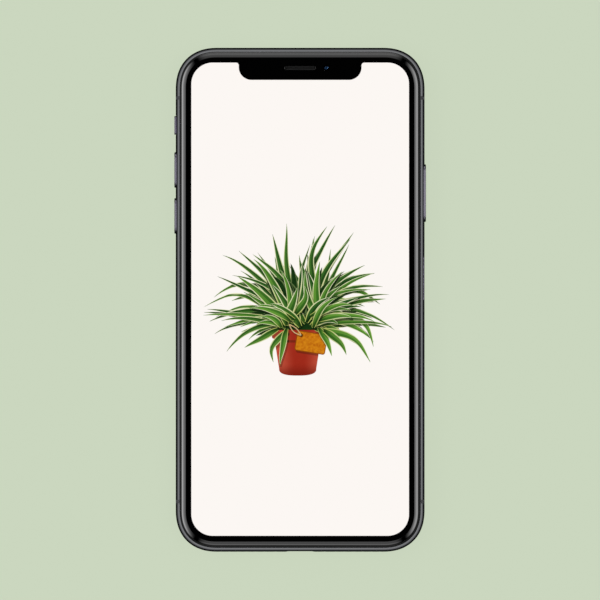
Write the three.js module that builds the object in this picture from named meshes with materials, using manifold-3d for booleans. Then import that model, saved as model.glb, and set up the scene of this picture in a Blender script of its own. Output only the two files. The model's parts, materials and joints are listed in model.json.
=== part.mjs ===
// A slim touchscreen smartphone with a notched display, lying on its back.
// Millimetres. X runs across the screen, Y up the screen and Z out of the screen. The origin is the centre of
// the flat back face that the phone lies on. Every size below follows from the driving dimensions.
import * as THREE from "three";
import { mergeVertices } from "three/addons/utils/BufferGeometryUtils.js";
import Module from "manifold-3d";

const wasm = await Module();
wasm.setup();

// ---- Driving dimensions ----
const WIDTH = 70.9; // across the frame, without the buttons
const LENGTH = 143.6;
const THICKNESS = 7.7;
const CORNER_RADIUS = 10.66; // of the round corner that the eased one passes through on the diagonal
const CORNER_POWER = 2.3; // 2 is a circular corner, more is squarer
const CORNER_REACH = 1.126; // how much further along the sides the eased corner starts than the round one
const SCREEN_WIDTH = 62; // the lit area
const SCREEN_LENGTH = 134.75;
const SCREEN_SHIFT = 0.16; // how much nearer the top the lit area sits
const SCREEN_CORNER = 6.1;
const NOTCH_WIDTH = 34.95;
const NOTCH_DEPTH = 4.92;
const NOTCH_CORNER = 3.6;

// ---- Section through the edge, from outside to inside ----
const EDGE_INSET = 2.9; // how far the flat faces lie inside the silhouette
const BELT = 0.9; // flat stretch at mid thickness
const GLASS_INSET = 1.6; // rim of each glass
const SEAL_INNER = 2.5; // the seal under it runs from the outside to here
const WALL = 2.6; // inner face of the frame
const FIT = 0.05; // clearance between fixed neighbours
const RUN = 0.1; // clearance round what moves
const PAST = 1; // how far a cutter runs past what it cuts

// ---- Levels, from the back up ----
const GLASS_THICKNESS = 0.6;
const SEAL_THICKNESS = 0.1;
const FRAME_LOW = GLASS_THICKNESS + SEAL_THICKNESS;
const FRAME_HIGH = THICKNESS - FRAME_LOW;
const FLOOR = 1.1; // top of the mid plate, where the inner pieces stand
const MIDDLE = THICKNESS / 2;
const COVER_LOW = THICKNESS - GLASS_THICKNESS; // underside of the cover glass
const PANEL_LOW = COVER_LOW - 1.1;
const SHIELD_LOW = PANEL_LOW - 0.4;

const HALF_WIDTH = WIDTH / 2;
const HALF_LENGTH = LENGTH / 2;
const INNER_X = HALF_WIDTH - WALL; // inner faces of the frame
const INNER_Y = HALF_LENGTH - WALL;
const SCREEN_TOP = SCREEN_LENGTH / 2 + SCREEN_SHIFT;
const SENSOR_Y = 66; // the line of the earpiece and the front cameras

// ---- Solids ----
const QUARTER_SIDES = 4; // sides of a small quarter round
const CORNER_SIDES = 10; // sides of each corner of the body
const ENVELOPE_RINGS = 5; // rings of facets in each rolled edge
// Each quadrant's signs of x and y, and the quarter turns before it.
const QUADRANTS = [[1, 1, 0], [-1, 1, 1], [-1, -1, 2], [1, -1, 3]];

function solidOf(geometry) {
  const bare = geometry.index ? geometry.toNonIndexed() : geometry.clone();
  bare.deleteAttribute("normal");
  bare.deleteAttribute("uv");
  const merged = mergeVertices(bare, 1e-3);
  return new wasm.Manifold(
    new wasm.Mesh({
      numProp: 3,
      vertProperties: merged.attributes.position.array,
      triVerts: new Uint32Array(merged.index.array),
    }),
  );
}

function geometryOf(solid) {
  const mesh = solid.getMesh();
  const geometry = new THREE.BufferGeometry();
  geometry.setAttribute("position", new THREE.BufferAttribute(mesh.vertProperties, 3));
  geometry.setIndex(new THREE.BufferAttribute(mesh.triVerts, 1));
  geometry.computeVertexNormals();
  return geometry;
}

// A rectangle centred on (u, v) with corners of the given reach. Power 2 rounds them to circular arcs.
function roundedRect(u, v, width, height, reach, sides = QUARTER_SIDES, power = 2) {
  const eased = (t) => reach * Math.abs(t) ** (2 / power);
  const points = QUADRANTS.flatMap(([sx, sy, turns]) => Array.from({ length: sides + 1 }, (_, i) => {
    const angle = ((turns + i / sides) * Math.PI) / 2;
    return new THREE.Vector2(
      u + sx * (width / 2 - reach + eased(Math.cos(angle))),
      v + sy * (height / 2 - reach + eased(Math.sin(angle))),
    );
  }));
  return new THREE.Shape(points.filter((point, i) => point.distanceTo(points.at(i - 1)) > 1e-6));
}

// The phone's plan outline moved in by inset.
const planOutline = (inset) => roundedRect(0, 0, WIDTH - 2 * inset, LENGTH - 2 * inset,
  CORNER_REACH * (CORNER_RADIUS - inset), CORNER_SIDES, CORNER_POWER);

// Extrudes a shape along an axis from low to high. The shape's own coordinates are the next two axes in the
// order X, Y, Z, X: (x, y) along Z, (y, z) along X and (z, x) along Y. round softens both ends.
const BASES = { x: [1, 2, 0], y: [2, 0, 1], z: [0, 1, 2] };
const UNIT = [new THREE.Vector3(1, 0, 0), new THREE.Vector3(0, 1, 0), new THREE.Vector3(0, 0, 1)];

function along(axis, shape, low, high, round = 0) {
  const geometry = new THREE.ExtrudeGeometry(shape, {
    depth: high - low - 2 * round,
    bevelEnabled: round > 0,
    bevelThickness: round,
    bevelSize: round,
    bevelOffset: -round,
    bevelSegments: 2,
  });
  geometry.translate(0, 0, low + round);
  geometry.applyMatrix4(new THREE.Matrix4().makeBasis(...BASES[axis].map((i) => UNIT[i])));
  return solidOf(geometry);
}

const prism = (shape, low, high) => along("z", shape, low, high);

// A block with its upright edges rounded, and one with sharp edges.
function block([x0, x1], [y0, y1], [z0, z1], radius = 0.5) {
  return prism(roundedRect((x0 + x1) / 2, (y0 + y1) / 2, x1 - x0, y1 - y0, radius), z0, z1);
}

function box([x0, x1], [y0, y1], [z0, z1]) {
  const geometry = new THREE.BoxGeometry(x1 - x0, y1 - y0, z1 - z0);
  geometry.translate((x0 + x1) / 2, (y0 + y1) / 2, (z0 + z1) / 2);
  return solidOf(geometry);
}

// A round bar along an axis, centred on (u, v) in the two axes that follow it.
function bar(axis, u, v, radius, low, high, sides = 16) {
  const points = Array.from({ length: sides }, (_, i) => {
    const angle = (2 * Math.PI * (i + 0.5)) / sides;
    return new THREE.Vector2(u + radius * Math.cos(angle), v + radius * Math.sin(angle));
  });
  return along(axis, new THREE.Shape(points), low, high);
}

// A slot with half-round ends; the shape's own u and v are as in along().
const pill = (u, v, width, height) => roundedRect(u, v, width, height, Math.min(width, height) / 2);

const join = (...solids) => solids.reduce((sum, next) => sum.add(next));
const cut = (solid, ...tools) => tools.reduce((rest, tool) => rest.subtract(tool), solid);

// ---- Scene graph ----
const phone = new THREE.Group();
phone.name = "smartphone";

const finish = (color, roughness, metalness) => (
  new THREE.MeshStandardMaterial({ color, roughness, metalness })
);
const FINISHES = {
  polishedSteel: finish(0x55545a, 0.22, 1),
  pressedSteel: finish(0xa7a9ac, 0.4, 1),
  aluminium: finish(0xb9bbbf, 0.45, 1),
  blackPlastic: finish(0x17171a, 0.6, 0),
  greyPlastic: finish(0x3a3a3f, 0.55, 0),
  coverGlass: new THREE.MeshStandardMaterial({
    color: 0x050506,
    roughness: 0.05,
    transparent: true,
    opacity: 0.2,
  }),
  backGlass: finish(0x1c1c20, 0.12, 0),
  litPanel: finish(0xfcf7f3, 0.3, 0),
  pouchFoil: finish(0x1b1c1f, 0.5, 0.3),
  circuitBoard: finish(0x14231b, 0.55, 0),
  copper: finish(0xb87333, 0.35, 1),
  ferrite: finish(0x2b2b2e, 0.8, 0),
  lensGlass: finish(0x0b1226, 0.05, 0),
  flashLens: finish(0xf1e6b8, 0.3, 0),
  cardPlastic: finish(0xf2f2ee, 0.5, 0),
  flexCable: finish(0x2a1c12, 0.6, 0),
  fineMesh: finish(0x1a1a1a, 0.7, 0.5),
};

function add(name, solid, material) {
  const mesh = new THREE.Mesh(geometryOf(solid), FINISHES[material]);
  mesh.name = name;
  phone.add(mesh);
}

// ---- Outer body ----
// The whole outside: flat faces that roll over in an elliptical edge to a narrow belt at mid thickness.
function bodyEnvelope() {
  const roll = (THICKNESS - BELT) / 2;
  const geometry = new THREE.ExtrudeGeometry(planOutline(EDGE_INSET), {
    depth: BELT,
    bevelEnabled: true,
    bevelThickness: roll,
    bevelSize: EDGE_INSET,
    bevelSegments: ENVELOPE_RINGS,
  });
  geometry.translate(0, 0, roll);
  return solidOf(geometry);
}

const envelope = bodyEnvelope();
const ring = (outer, inner, low, high) => prism(planOutline(outer), low, high)
  .subtract(prism(planOutline(inner), low - PAST, high + PAST));

// Cutters that keep a layer of the body, all of it past y = from on one end (+1 top, -1 bottom), or one side.
const ALL = [-LENGTH, LENGTH];
const layer = (low, high) => box(ALL, ALL, [low, high]);
const endSpace = (end, from) => box(ALL, end > 0 ? [from, LENGTH] : [-LENGTH, -from], ALL);
const sideSpace = (side) => box(side > 0 ? [0, LENGTH] : [-LENGTH, 0], ALL, ALL);

// ---- Side controls: places along the rails, from the photograph's proportions ----
const BREAK_Y = 57.5; // antenna breaks, above and below the centre
const BREAK_WIDTH = 1;
const PROUD = 0.4; // how far the controls stand out of the rails
const KEY_HEIGHT = 3.3;
const SLOT_DEPTH = WALL + PAST;
const KEY_TRAVEL = 0.25;
const FLANGE_OUTER = 1.75; // the flange that keeps a key in, as insets from the silhouette
const FLANGE_INNER = 2.15;
const FLANGE_GROW = 0.7; // flange past the cap along the rail
const FLANGE_RISE = 0.5; // and above and below it
const PLUNGER_TIP = 2.55;
const SWITCH_OUTER = PLUNGER_TIP + KEY_TRAVEL + FIT;
const SWITCH_INNER = SWITCH_OUTER + 0.5;
const SIDE_KEY = { side: 1, y: 30.4, length: 16.4 };
const VOLUME_UP = { side: -1, y: 37, length: 10.15 };
const VOLUME_DOWN = { side: -1, y: 23.9, length: 10.15 };
const MUTE = { y: 49.7, length: 5.3, height: 1.7, corner: 0.5, travel: 1, rest: MIDDLE + 0.5 };
const MUTE_FLANGE = { length: 6.2, height: 3.5, corner: 0.3 };
const TRAY = {
  y: 6,
  capLength: 14.6,
  capHeight: 3,
  capDepth: 1.6,
  length: 13.6,
  depth: 25.6,
  thickness: 1.4,
};

// X at an inset from the left (-1) or the right (+1) rail, and the stretch between two insets.
const railX = (side, inset) => side * (HALF_WIDTH - inset);
const span = (side, outer, inner) => [railX(side, outer), railX(side, inner)].sort((a, b) => a - b);

const flangeShape = (y, length, grow) => roundedRect(
  y,
  MIDDLE,
  length + 2 * (FLANGE_GROW + grow),
  KEY_HEIGHT + 2 * (FLANGE_RISE + grow),
  FLANGE_RISE + grow,
);

// A slot for the cap, and a pocket for the flange from behind.
function keySlot({ side, y, length }) {
  const hole = along("x", pill(y, MIDDLE, length + 2 * RUN, KEY_HEIGHT + 2 * RUN),
    ...span(side, -PAST, SLOT_DEPTH));
  const pocket = along("x", flangeShape(y, length, RUN), ...span(side, FLANGE_OUTER - FIT, SLOT_DEPTH));
  return hole.add(pocket);
}

function muteSlot() {
  const room = MUTE.travel + 2 * RUN;
  const hole = along("x",
    roundedRect(MUTE.y, MIDDLE, MUTE.length + 2 * RUN, MUTE.height + room, MUTE.corner + RUN),
    ...span(-1, -PAST, SLOT_DEPTH));
  const pocket = along("x",
    roundedRect(MUTE.y, MIDDLE, MUTE_FLANGE.length + 2 * RUN, MUTE_FLANGE.height + room, MUTE_FLANGE.corner),
    ...span(-1, FLANGE_OUTER - FIT, SLOT_DEPTH));
  return hole.add(pocket);
}

const traySlot = () => along("x", pill(TRAY.y, MIDDLE, TRAY.capLength + 2 * RUN, TRAY.capHeight + 2 * RUN),
  ...span(1, -PAST, SLOT_DEPTH));

// ---- Bottom edge: socket, sound holes and screws ----
const SOCKET = { width: 8.6, height: 2.8 };
const HOLE_RADIUS = 0.75;
const HOLE_PITCH = 2.5;
const HOLES = Array.from({ length: 6 }, (_, i) => 10.2 + i * HOLE_PITCH);
const SCREW = {
  x: 6.9,
  headRadius: 0.75,
  headDepth: 0.7,
  shankRadius: 0.45,
  face: HALF_LENGTH - 0.25, // a little inside the belt
};

function bottomCuts() {
  const through = [-LENGTH, -INNER_Y + PAST];
  const seat = -SCREW.face + SCREW.headDepth + FIT;
  return [
    along("y", pill(MIDDLE, 0, SOCKET.height, SOCKET.width), ...through),
    ...HOLES.flatMap((x) => [-x, x]).map((x) => bar("y", MIDDLE, x, HOLE_RADIUS, ...through, 12)),
    ...[-SCREW.x, SCREW.x].flatMap((x) => [
      bar("y", MIDDLE, x, SCREW.headRadius + FIT, -LENGTH, seat, 12),
      bar("y", MIDDLE, x, SCREW.shankRadius + FIT, ...through, 12),
    ]),
  ];
}

function addFrame() {
  const inside = prism(planOutline(WALL), 0, THICKNESS);
  const band = envelope.intersect(layer(FRAME_LOW, FRAME_HIGH)).subtract(inside);
  const capEdge = BREAK_Y + BREAK_WIDTH / 2;
  const railEdge = BREAK_Y - BREAK_WIDTH / 2;
  const rails = cut(band, endSpace(1, railEdge), endSpace(-1, railEdge));
  const left = rails.intersect(sideSpace(-1));
  const right = rails.intersect(sideSpace(1));
  add("frame_top", band.intersect(endSpace(1, capEdge)), "polishedSteel");
  add("frame_bottom", cut(band.intersect(endSpace(-1, capEdge)), ...bottomCuts()), "polishedSteel");
  add("frame_left", cut(left, keySlot(VOLUME_UP), keySlot(VOLUME_DOWN), muteSlot()), "polishedSteel");
  add("frame_right", cut(right, keySlot(SIDE_KEY), traySlot()), "polishedSteel");
  for (const [name, end] of [["top", 1], ["bottom", -1]]) {
    const inserts = band.intersect(endSpace(end, railEdge + FIT)).subtract(endSpace(end, capEdge - FIT));
    add(`antenna_break_${name}_left`, inserts.intersect(sideSpace(-1)), "greyPlastic");
    add(`antenna_break_${name}_right`, inserts.intersect(sideSpace(1)), "greyPlastic");
  }
}

// The seals lie on the frame under each glass. A lip of each fills the step round the glass's rim, where it
// shows as a dark line along the rolled edge.
function addSeals() {
  const bed = (low, high) => envelope.intersect(ring(0, SEAL_INNER, low, high));
  const lip = (low, high) => envelope.intersect(ring(0, GLASS_INSET - FIT, low, high));
  add("front_seal", bed(FRAME_HIGH, COVER_LOW).add(lip(FRAME_HIGH, THICKNESS)), "blackPlastic");
  add("back_seal", bed(GLASS_THICKNESS, FRAME_LOW).add(lip(0, FRAME_LOW)), "blackPlastic");
}

const CAMERA = { x: 22.5, y: 48.5, spread: 6.6, width: 12.4, length: 25 };
const EARPIECE = { width: 9, height: 1 };

function addGlasses() {
  const sheet = (low, high) => envelope.intersect(prism(planOutline(GLASS_INSET), low, high));
  const slit = prism(pill(0, SENSOR_Y, EARPIECE.width, EARPIECE.height), 0, THICKNESS + PAST);
  add("cover_glass", sheet(COVER_LOW, THICKNESS + PAST).subtract(slit), "coverGlass");
  const window = prism(pill(CAMERA.x, CAMERA.y, CAMERA.width, CAMERA.length), -PAST, THICKNESS);
  add("back_glass", sheet(-PAST, GLASS_THICKNESS).subtract(window), "backGlass");
}

// ---- Display ----
const PANEL_MARGIN = 0.45; // the panel reaches this far past its lit area
const SHIELD_MARGIN = -1; // and the shield behind it stays inside
const RIBBON = { x: [12, 20], y: [16.5, 30], thickness: 0.15 };

// The screen's outline grown by a margin, with the notch cut down from its top edge.
function screenSheet(margin, low, high) {
  const width = SCREEN_WIDTH + 2 * margin;
  const length = SCREEN_LENGTH + 2 * margin;
  const outline = roundedRect(0, SCREEN_SHIFT, width, length, SCREEN_CORNER + margin);
  const halfNotch = NOTCH_WIDTH / 2 - margin;
  const notch = block(
    [-halfNotch, halfNotch],
    [SCREEN_TOP - NOTCH_DEPTH + margin, HALF_LENGTH],
    [low - PAST, high + PAST],
    NOTCH_CORNER - margin,
  );
  return prism(outline, low, high).subtract(notch);
}

function addDisplay() {
  add("display_panel", screenSheet(PANEL_MARGIN, PANEL_LOW, COVER_LOW), "litPanel");
  add("display_shield", screenSheet(SHIELD_MARGIN, SHIELD_LOW, PANEL_LOW), "aluminium");
  // The carrier fills the space round the panel and in its notch, with a hole for each sensor.
  const room = screenSheet(PANEL_MARGIN + RUN, 0, THICKNESS);
  const sensorHoles = SENSORS.map((sensor) => sensorSolid(sensor, RUN, 0, THICKNESS));
  const plate = prism(planOutline(WALL + FIT), SHIELD_LOW, COVER_LOW);
  add("display_carrier", cut(plate, room, ...sensorHoles), "blackPlastic");
}

// The ribbon lies against the shield and folds down to the processor's shield.
function addRibbon() {
  const { x, y, thickness } = RIBBON;
  const foldY = [y[1] - 4 * thickness, y[1] - 3 * thickness];
  const flat = block(x, y, [SHIELD_LOW - thickness, SHIELD_LOW], 2 * thickness);
  const fold = box(x, foldY, [PROCESSOR_TOP, SHIELD_LOW - thickness / 2]);
  add("display_ribbon", flat.add(fold), "flexCable");
}

// ---- Earpiece and front sensors, on a bracket inside the top edge ----
const BRACKET_TOP = 4;
const BRACKET_SHEET = 0.5;
const MESH_THICKNESS = 0.2;
const SENSOR_Y_SPAN = [SENSOR_Y - 1.7, SENSOR_Y + 1.4];
const MESH_LOW = COVER_LOW - MESH_THICKNESS;
const SENSOR_TOP = COVER_LOW - FIT;
const SENSORS = [
  { name: "earpiece_speaker", x: 0, width: EARPIECE.width + 1.6, top: MESH_LOW, look: "blackPlastic" },
  { name: "infrared_camera", x: -12.6, radius: 1.5, top: SENSOR_TOP, look: "lensGlass" },
  { name: "light_sensor", x: -8.2, width: 2.4, top: SENSOR_TOP, look: "blackPlastic" },
  { name: "front_camera", x: 7.5, radius: 1.5, top: SENSOR_TOP, look: "lensGlass" },
  { name: "dot_projector", x: 12.8, width: 3.2, top: SENSOR_TOP, look: "blackPlastic" },
];

// A sensor's outer shape grown sideways: a round barrel where it has a radius, else a block.
function sensorSolid({ x, width, radius }, grow, low, high) {
  if (radius) return bar("z", x, SENSOR_Y, radius + grow, low, high, 20);
  const reach = width / 2 + grow;
  const y = [SENSOR_Y_SPAN[0] - grow, SENSOR_Y_SPAN[1] + grow];
  return block([x - reach, x + reach], y, [low, high]);
}

function addSensors() {
  const halfX = 16;
  const legWidth = 2;
  const y = [SENSOR_Y - 2.5, INNER_Y - 2 * RUN];
  const sheet = block([-halfX, halfX], y, [BRACKET_TOP - BRACKET_SHEET, BRACKET_TOP]);
  const leg = (x) => block([x, x + legWidth], y, [FLOOR, BRACKET_TOP - BRACKET_SHEET / 2]);
  add("sensor_bracket", join(sheet, leg(-halfX), leg(halfX - legWidth)), "pressedSteel");
  for (const sensor of SENSORS) {
    add(sensor.name, sensorSolid(sensor, 0, BRACKET_TOP, sensor.top), sensor.look);
  }
  const mesh = pill(0, SENSOR_Y, EARPIECE.width + 0.5, EARPIECE.height + 0.5);
  add("earpiece_mesh", prism(mesh, MESH_LOW, COVER_LOW), "fineMesh");
}

// ---- Mid plate, charging coil and battery ----
const COIL = { y: 4, inner: 12, outer: 20.5, top: FLOOR - 0.2 };
const BATTERY = {
  left: -31,
  right: 31,
  waist: 3, // right edge of its long arm
  low: -46,
  step: -17, // top edge of its short arm
  high: 56,
  top: FLOOR + 3.9,
  corner: 1.5,
};

function addChassis() {
  const FERRITE_RADIUS = COIL.outer + 0.4;
  const coilHole = bar("z", 0, COIL.y, FERRITE_RADIUS + 2 * RUN, 0, FLOOR + PAST, 40);
  const cameraHole = prism(
    pill(CAMERA.x, CAMERA.y, CAMERA.width + 2 * RUN, CAMERA.length + 2 * RUN),
    0,
    FLOOR + PAST,
  );
  const plate = prism(planOutline(WALL + FIT), GLASS_THICKNESS, FLOOR);
  add("mid_plate", cut(plate, coilHole, cameraHole), "aluminium");
  const winding = bar("z", 0, COIL.y, COIL.outer, GLASS_THICKNESS, COIL.top, 40);
  add("charging_coil", winding.subtract(bar("z", 0, COIL.y, COIL.inner, 0, FLOOR, 28)), "copper");
  add("coil_ferrite", bar("z", 0, COIL.y, FERRITE_RADIUS, COIL.top, FLOOR, 40), "ferrite");
  const { left, right, waist, low, step, high, top, corner } = BATTERY;
  add("battery", join(
    block([left, right], [low, step], [FLOOR, top], corner),
    block([left, waist], [low, high], [FLOOR, top], corner),
  ), "pouchFoil");
}

// ---- Logic board, its shields and the SIM reader ----
const BOARD = { x: [5, 31.6], y: [-15, 35], top: FLOOR + 1.2 };
const SHIELD_EDGE = 1.2; // from the board's edge to its shields
const PROCESSOR_TOP = BOARD.top + 2.1;
const MODEM_TOP = BOARD.top + 1.8;
const READER_SIDE = 8.3; // half its width
const READER_GAP = 0.6; // to the shields on both sides
const READER_ROOF = 0.35;
const CHANNEL_HALF = TRAY.thickness / 2 + RUN;
const TAB = { x: [4, 6], y: [-11, -6], film: 0.3, plug: 0.9 };

function addBoard() {
  add("logic_board", block(BOARD.x, BOARD.y, [FLOOR, BOARD.top]), "circuitBoard");
  const shieldX = [BOARD.x[0] + SHIELD_EDGE, BOARD.x[1] - SHIELD_EDGE];
  const processorY = [TRAY.y + READER_SIDE + READER_GAP, BOARD.y[1] - SHIELD_EDGE];
  const modemY = [BOARD.y[0] + SHIELD_EDGE, TRAY.y - READER_SIDE - READER_GAP];
  add("processor_shield", block(shieldX, processorY, [BOARD.top, PROCESSOR_TOP]), "pressedSteel");
  add("modem_shield", block(shieldX, modemY, [BOARD.top, MODEM_TOP]), "pressedSteel");
  // The battery's tab runs from the pouch to a flat plug on the board.
  add("battery_tab", join(
    block([BATTERY.waist + FIT, TAB.x[1]], TAB.y, [BOARD.top, BOARD.top + TAB.film], TAB.film),
    block(TAB.x, TAB.y, [BOARD.top, BOARD.top + TAB.plug], TAB.film),
  ), "flexCable");
  const trayEnd = railX(1, TRAY.depth);
  const reader = block(
    [trayEnd - 4 * RUN - 1, INNER_X - 2 * RUN],
    [TRAY.y - READER_SIDE, TRAY.y + READER_SIDE],
    [BOARD.top, MIDDLE + CHANNEL_HALF + READER_ROOF],
  );
  const channel = box(
    [trayEnd - 4 * RUN, HALF_WIDTH],
    [TRAY.y - TRAY.length / 2 - RUN, TRAY.y + TRAY.length / 2 + RUN],
    [MIDDLE - CHANNEL_HALF, MIDDLE + CHANNEL_HALF],
  );
  add("sim_reader", reader.subtract(channel), "pressedSteel");
}

// ---- SIM tray and card ----
const CARD = { length: 12.3, width: 8.8, thickness: 0.67, corner: 0.6 };
const CARD_END = railX(1, 7); // its outer edge in the tray
const CARD_TOP = MIDDLE + TRAY.thickness / 2 - RUN;
const PIN_HOLE = { y: TRAY.y - 5.4, radius: 0.45, depth: 3.5 };

function cardSolid(grow, high) {
  return block(
    [CARD_END - CARD.length - grow, CARD_END + grow],
    [TRAY.y - CARD.width / 2 - grow, TRAY.y + CARD.width / 2 + grow],
    [CARD_TOP - CARD.thickness, high],
    CARD.corner,
  );
}

function addTray() {
  const cap = envelope.intersect(along("x", pill(TRAY.y, MIDDLE, TRAY.capLength, TRAY.capHeight),
    ...span(1, -PAST, TRAY.capDepth)));
  const sheet = box(
    span(1, TRAY.depth, TRAY.capDepth - RUN),
    [TRAY.y - TRAY.length / 2, TRAY.y + TRAY.length / 2],
    [MIDDLE - TRAY.thickness / 2, MIDDLE + TRAY.thickness / 2],
  );
  const pinHole = bar("x", PIN_HOLE.y, MIDDLE, PIN_HOLE.radius, ...span(1, -PAST, PIN_HOLE.depth), 10);
  add("sim_tray", cut(cap.add(sheet), cardSolid(RUN, THICKNESS), pinHole), "polishedSteel");
  add("sim_card", cardSolid(0, CARD_TOP), "cardPlastic");
}

// ---- Keys and their switches ----
const KEY_EDGE = 0.15; // softened edge of each cap
const PLUNGER_RADIUS = 0.6;
const STRIP = { z: [MIDDLE - 1.9, MIDDLE + 1.7], past: 2.2, foot: 1.2 };
const MUTE_CONTACT = { halfLength: 4.6, z: [MIDDLE - 2.6, MIDDLE + 1.7] };

function keySolid({ side, y, length }) {
  const cap = along("x", pill(y, MIDDLE, length, KEY_HEIGHT),
    ...span(side, -PROUD, FLANGE_INNER - RUN), KEY_EDGE);
  const flange = along("x", flangeShape(y, length, 0), ...span(side, FLANGE_OUTER, FLANGE_INNER));
  const plunger = bar("x", y, MIDDLE, PLUNGER_RADIUS, ...span(side, FLANGE_INNER - RUN, PLUNGER_TIP), 10);
  return join(cap, flange, plunger);
}

// A strip of switches bridges the pockets of its keys, with a foot on the rail past each end.
function switchStrip(firstKey, lastKey) {
  const { side } = firstKey;
  const past = FLANGE_GROW + STRIP.past;
  const low = firstKey.y - firstKey.length / 2 - past;
  const high = lastKey.y + lastKey.length / 2 + past;
  const foot = (y0, y1) => box(span(side, WALL + FIT, SWITCH_INNER), [y0, y1], STRIP.z);
  return join(
    box(span(side, SWITCH_OUTER, SWITCH_INNER), [low, high], STRIP.z),
    foot(low, low + STRIP.foot),
    foot(high - STRIP.foot, high),
  );
}

function addKeys() {
  add("side_button", keySolid(SIDE_KEY), "polishedSteel");
  add("volume_up_button", keySolid(VOLUME_UP), "polishedSteel");
  add("volume_down_button", keySolid(VOLUME_DOWN), "polishedSteel");
  add("side_switch", switchStrip(SIDE_KEY, SIDE_KEY), "flexCable");
  add("volume_switches", switchStrip(VOLUME_DOWN, VOLUME_UP), "flexCable");
  const nub = along("x", roundedRect(MUTE.y, MUTE.rest, MUTE.length, MUTE.height, MUTE.corner),
    ...span(-1, -PROUD, FLANGE_INNER - RUN), KEY_EDGE);
  const flange = along("x",
    roundedRect(MUTE.y, MUTE.rest, MUTE_FLANGE.length, MUTE_FLANGE.height, MUTE_FLANGE.corner),
    ...span(-1, FLANGE_OUTER, FLANGE_INNER));
  add("mute_switch", nub.add(flange), "polishedSteel");
  const contactY = [MUTE.y - MUTE_CONTACT.halfLength, MUTE.y + MUTE_CONTACT.halfLength];
  add("mute_contact", box(span(-1, WALL + FIT, SWITCH_INNER), contactY, MUTE_CONTACT.z), "flexCable");
}

// ---- Rear cameras ----
const TRIM = { wall: 0.6, top: FLOOR - 0.2 };
const WINDOW = { low: 0.1, high: 0.5 };
const MODULE_HALF = 5;
const MODULE_TOP = SHIELD_LOW - 0.2;
const MODULES = [
  { name: "rear_camera_wide", y: CAMERA.y + CAMERA.spread, radius: 4 },
  { name: "rear_camera_tele", y: CAMERA.y - CAMERA.spread, radius: 3.6 },
];
const LAMP_RADIUS = 1.2;

function addRearCameras() {
  const { x, y } = CAMERA;
  const plan = (inset) => pill(x, y, CAMERA.width - 2 * inset, CAMERA.length - 2 * inset);
  const inside = RUN + TRIM.wall;
  const opening = prism(plan(inside), -PAST, FLOOR);
  add("camera_trim", prism(plan(RUN), 0, TRIM.top).subtract(opening), "polishedSteel");
  add("camera_window", prism(plan(inside + FIT), WINDOW.low, WINDOW.high), "lensGlass");
  const housing = (cy, grow) => {
    const half = MODULE_HALF + grow;
    return block([x - half, x + half], [cy - half, cy + half], [FLOOR, MODULE_TOP]);
  };
  for (const { name, y: cy, radius } of MODULES) {
    const barrel = bar("z", x, cy, radius, WINDOW.high + FIT, FLOOR + FIT, 24);
    add(name, barrel.add(housing(cy, 0)), "blackPlastic");
  }
  const bracketX = MODULE_HALF + 1.8;
  const bracketY = CAMERA.spread + MODULE_HALF + 1.2;
  add("camera_bracket", cut(
    block([x - bracketX, x + bracketX], [y - bracketY, y + bracketY], [FLOOR, FLOOR + 2], 1),
    ...MODULES.map((module) => housing(module.y, FIT)),
    bar("z", x, y, LAMP_RADIUS + RUN, 0, THICKNESS, 20),
  ), "pressedSteel");
  add("flash_lamp", bar("z", x, y, LAMP_RADIUS, WINDOW.high, FLOOR + 0.9, 20), "flashLens");
}

// ---- Bottom strip: charging socket, sound and vibration ----
const STRIP_Y = [-66, -48.5]; // where the loudspeaker and the motor stand
const BEHIND_FRAME = -INNER_Y + FIT;
const SHELL = { width: 10.4, height: 3.4, corner: 1.2, back: -58.5 };
const CAVITY = { width: 8.4, height: 2.6, floor: -62.4 };
const TONGUE = { width: 6.7, height: 0.7, corner: 0.2, tip: -67.8 };
const SOCKET_FOOT = { x: [-5, 5], y: [-62, -58.6] };
const STAR = { arms: 3, length: 1, width: 0.22, depth: 0.3 };

function addSound() {
  const x = [HOLES[0] - 1, HOLES.at(-1) + 1];
  const z = [MIDDLE - 1.2, MIDDLE + 1.2];
  const meshEnd = BEHIND_FRAME + 0.4;
  add("vibration_motor", block([-30.5, -9], STRIP_Y, [FLOOR, FLOOR + 3.8], 1.2), "pressedSteel");
  const duct = box(x, [meshEnd, STRIP_Y[0] + 1], z);
  add("loudspeaker", duct.add(block([9, 30.5], STRIP_Y, [FLOOR, FLOOR + 4], 1.2)), "blackPlastic");
  add("speaker_mesh", box(x, [BEHIND_FRAME, meshEnd], z), "fineMesh");
  add("bottom_microphone", box([-x[1], -x[0]], [BEHIND_FRAME, STRIP_Y[0]], z), "fineMesh");
}

function addSocket() {
  const shell = along("y", roundedRect(MIDDLE, 0, SHELL.height, SHELL.width, SHELL.corner),
    BEHIND_FRAME, SHELL.back);
  const cavity = along("y", pill(MIDDLE, 0, CAVITY.height, CAVITY.width), -HALF_LENGTH, CAVITY.floor);
  const tongue = along("y", roundedRect(MIDDLE, 0, TONGUE.height, TONGUE.width, TONGUE.corner),
    TONGUE.tip, CAVITY.floor + PAST);
  const foot = block(SOCKET_FOOT.x, SOCKET_FOOT.y, [FLOOR, MIDDLE]);
  add("charge_socket", join(cut(shell, cavity), tongue, foot), "pressedSteel");
}

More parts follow.
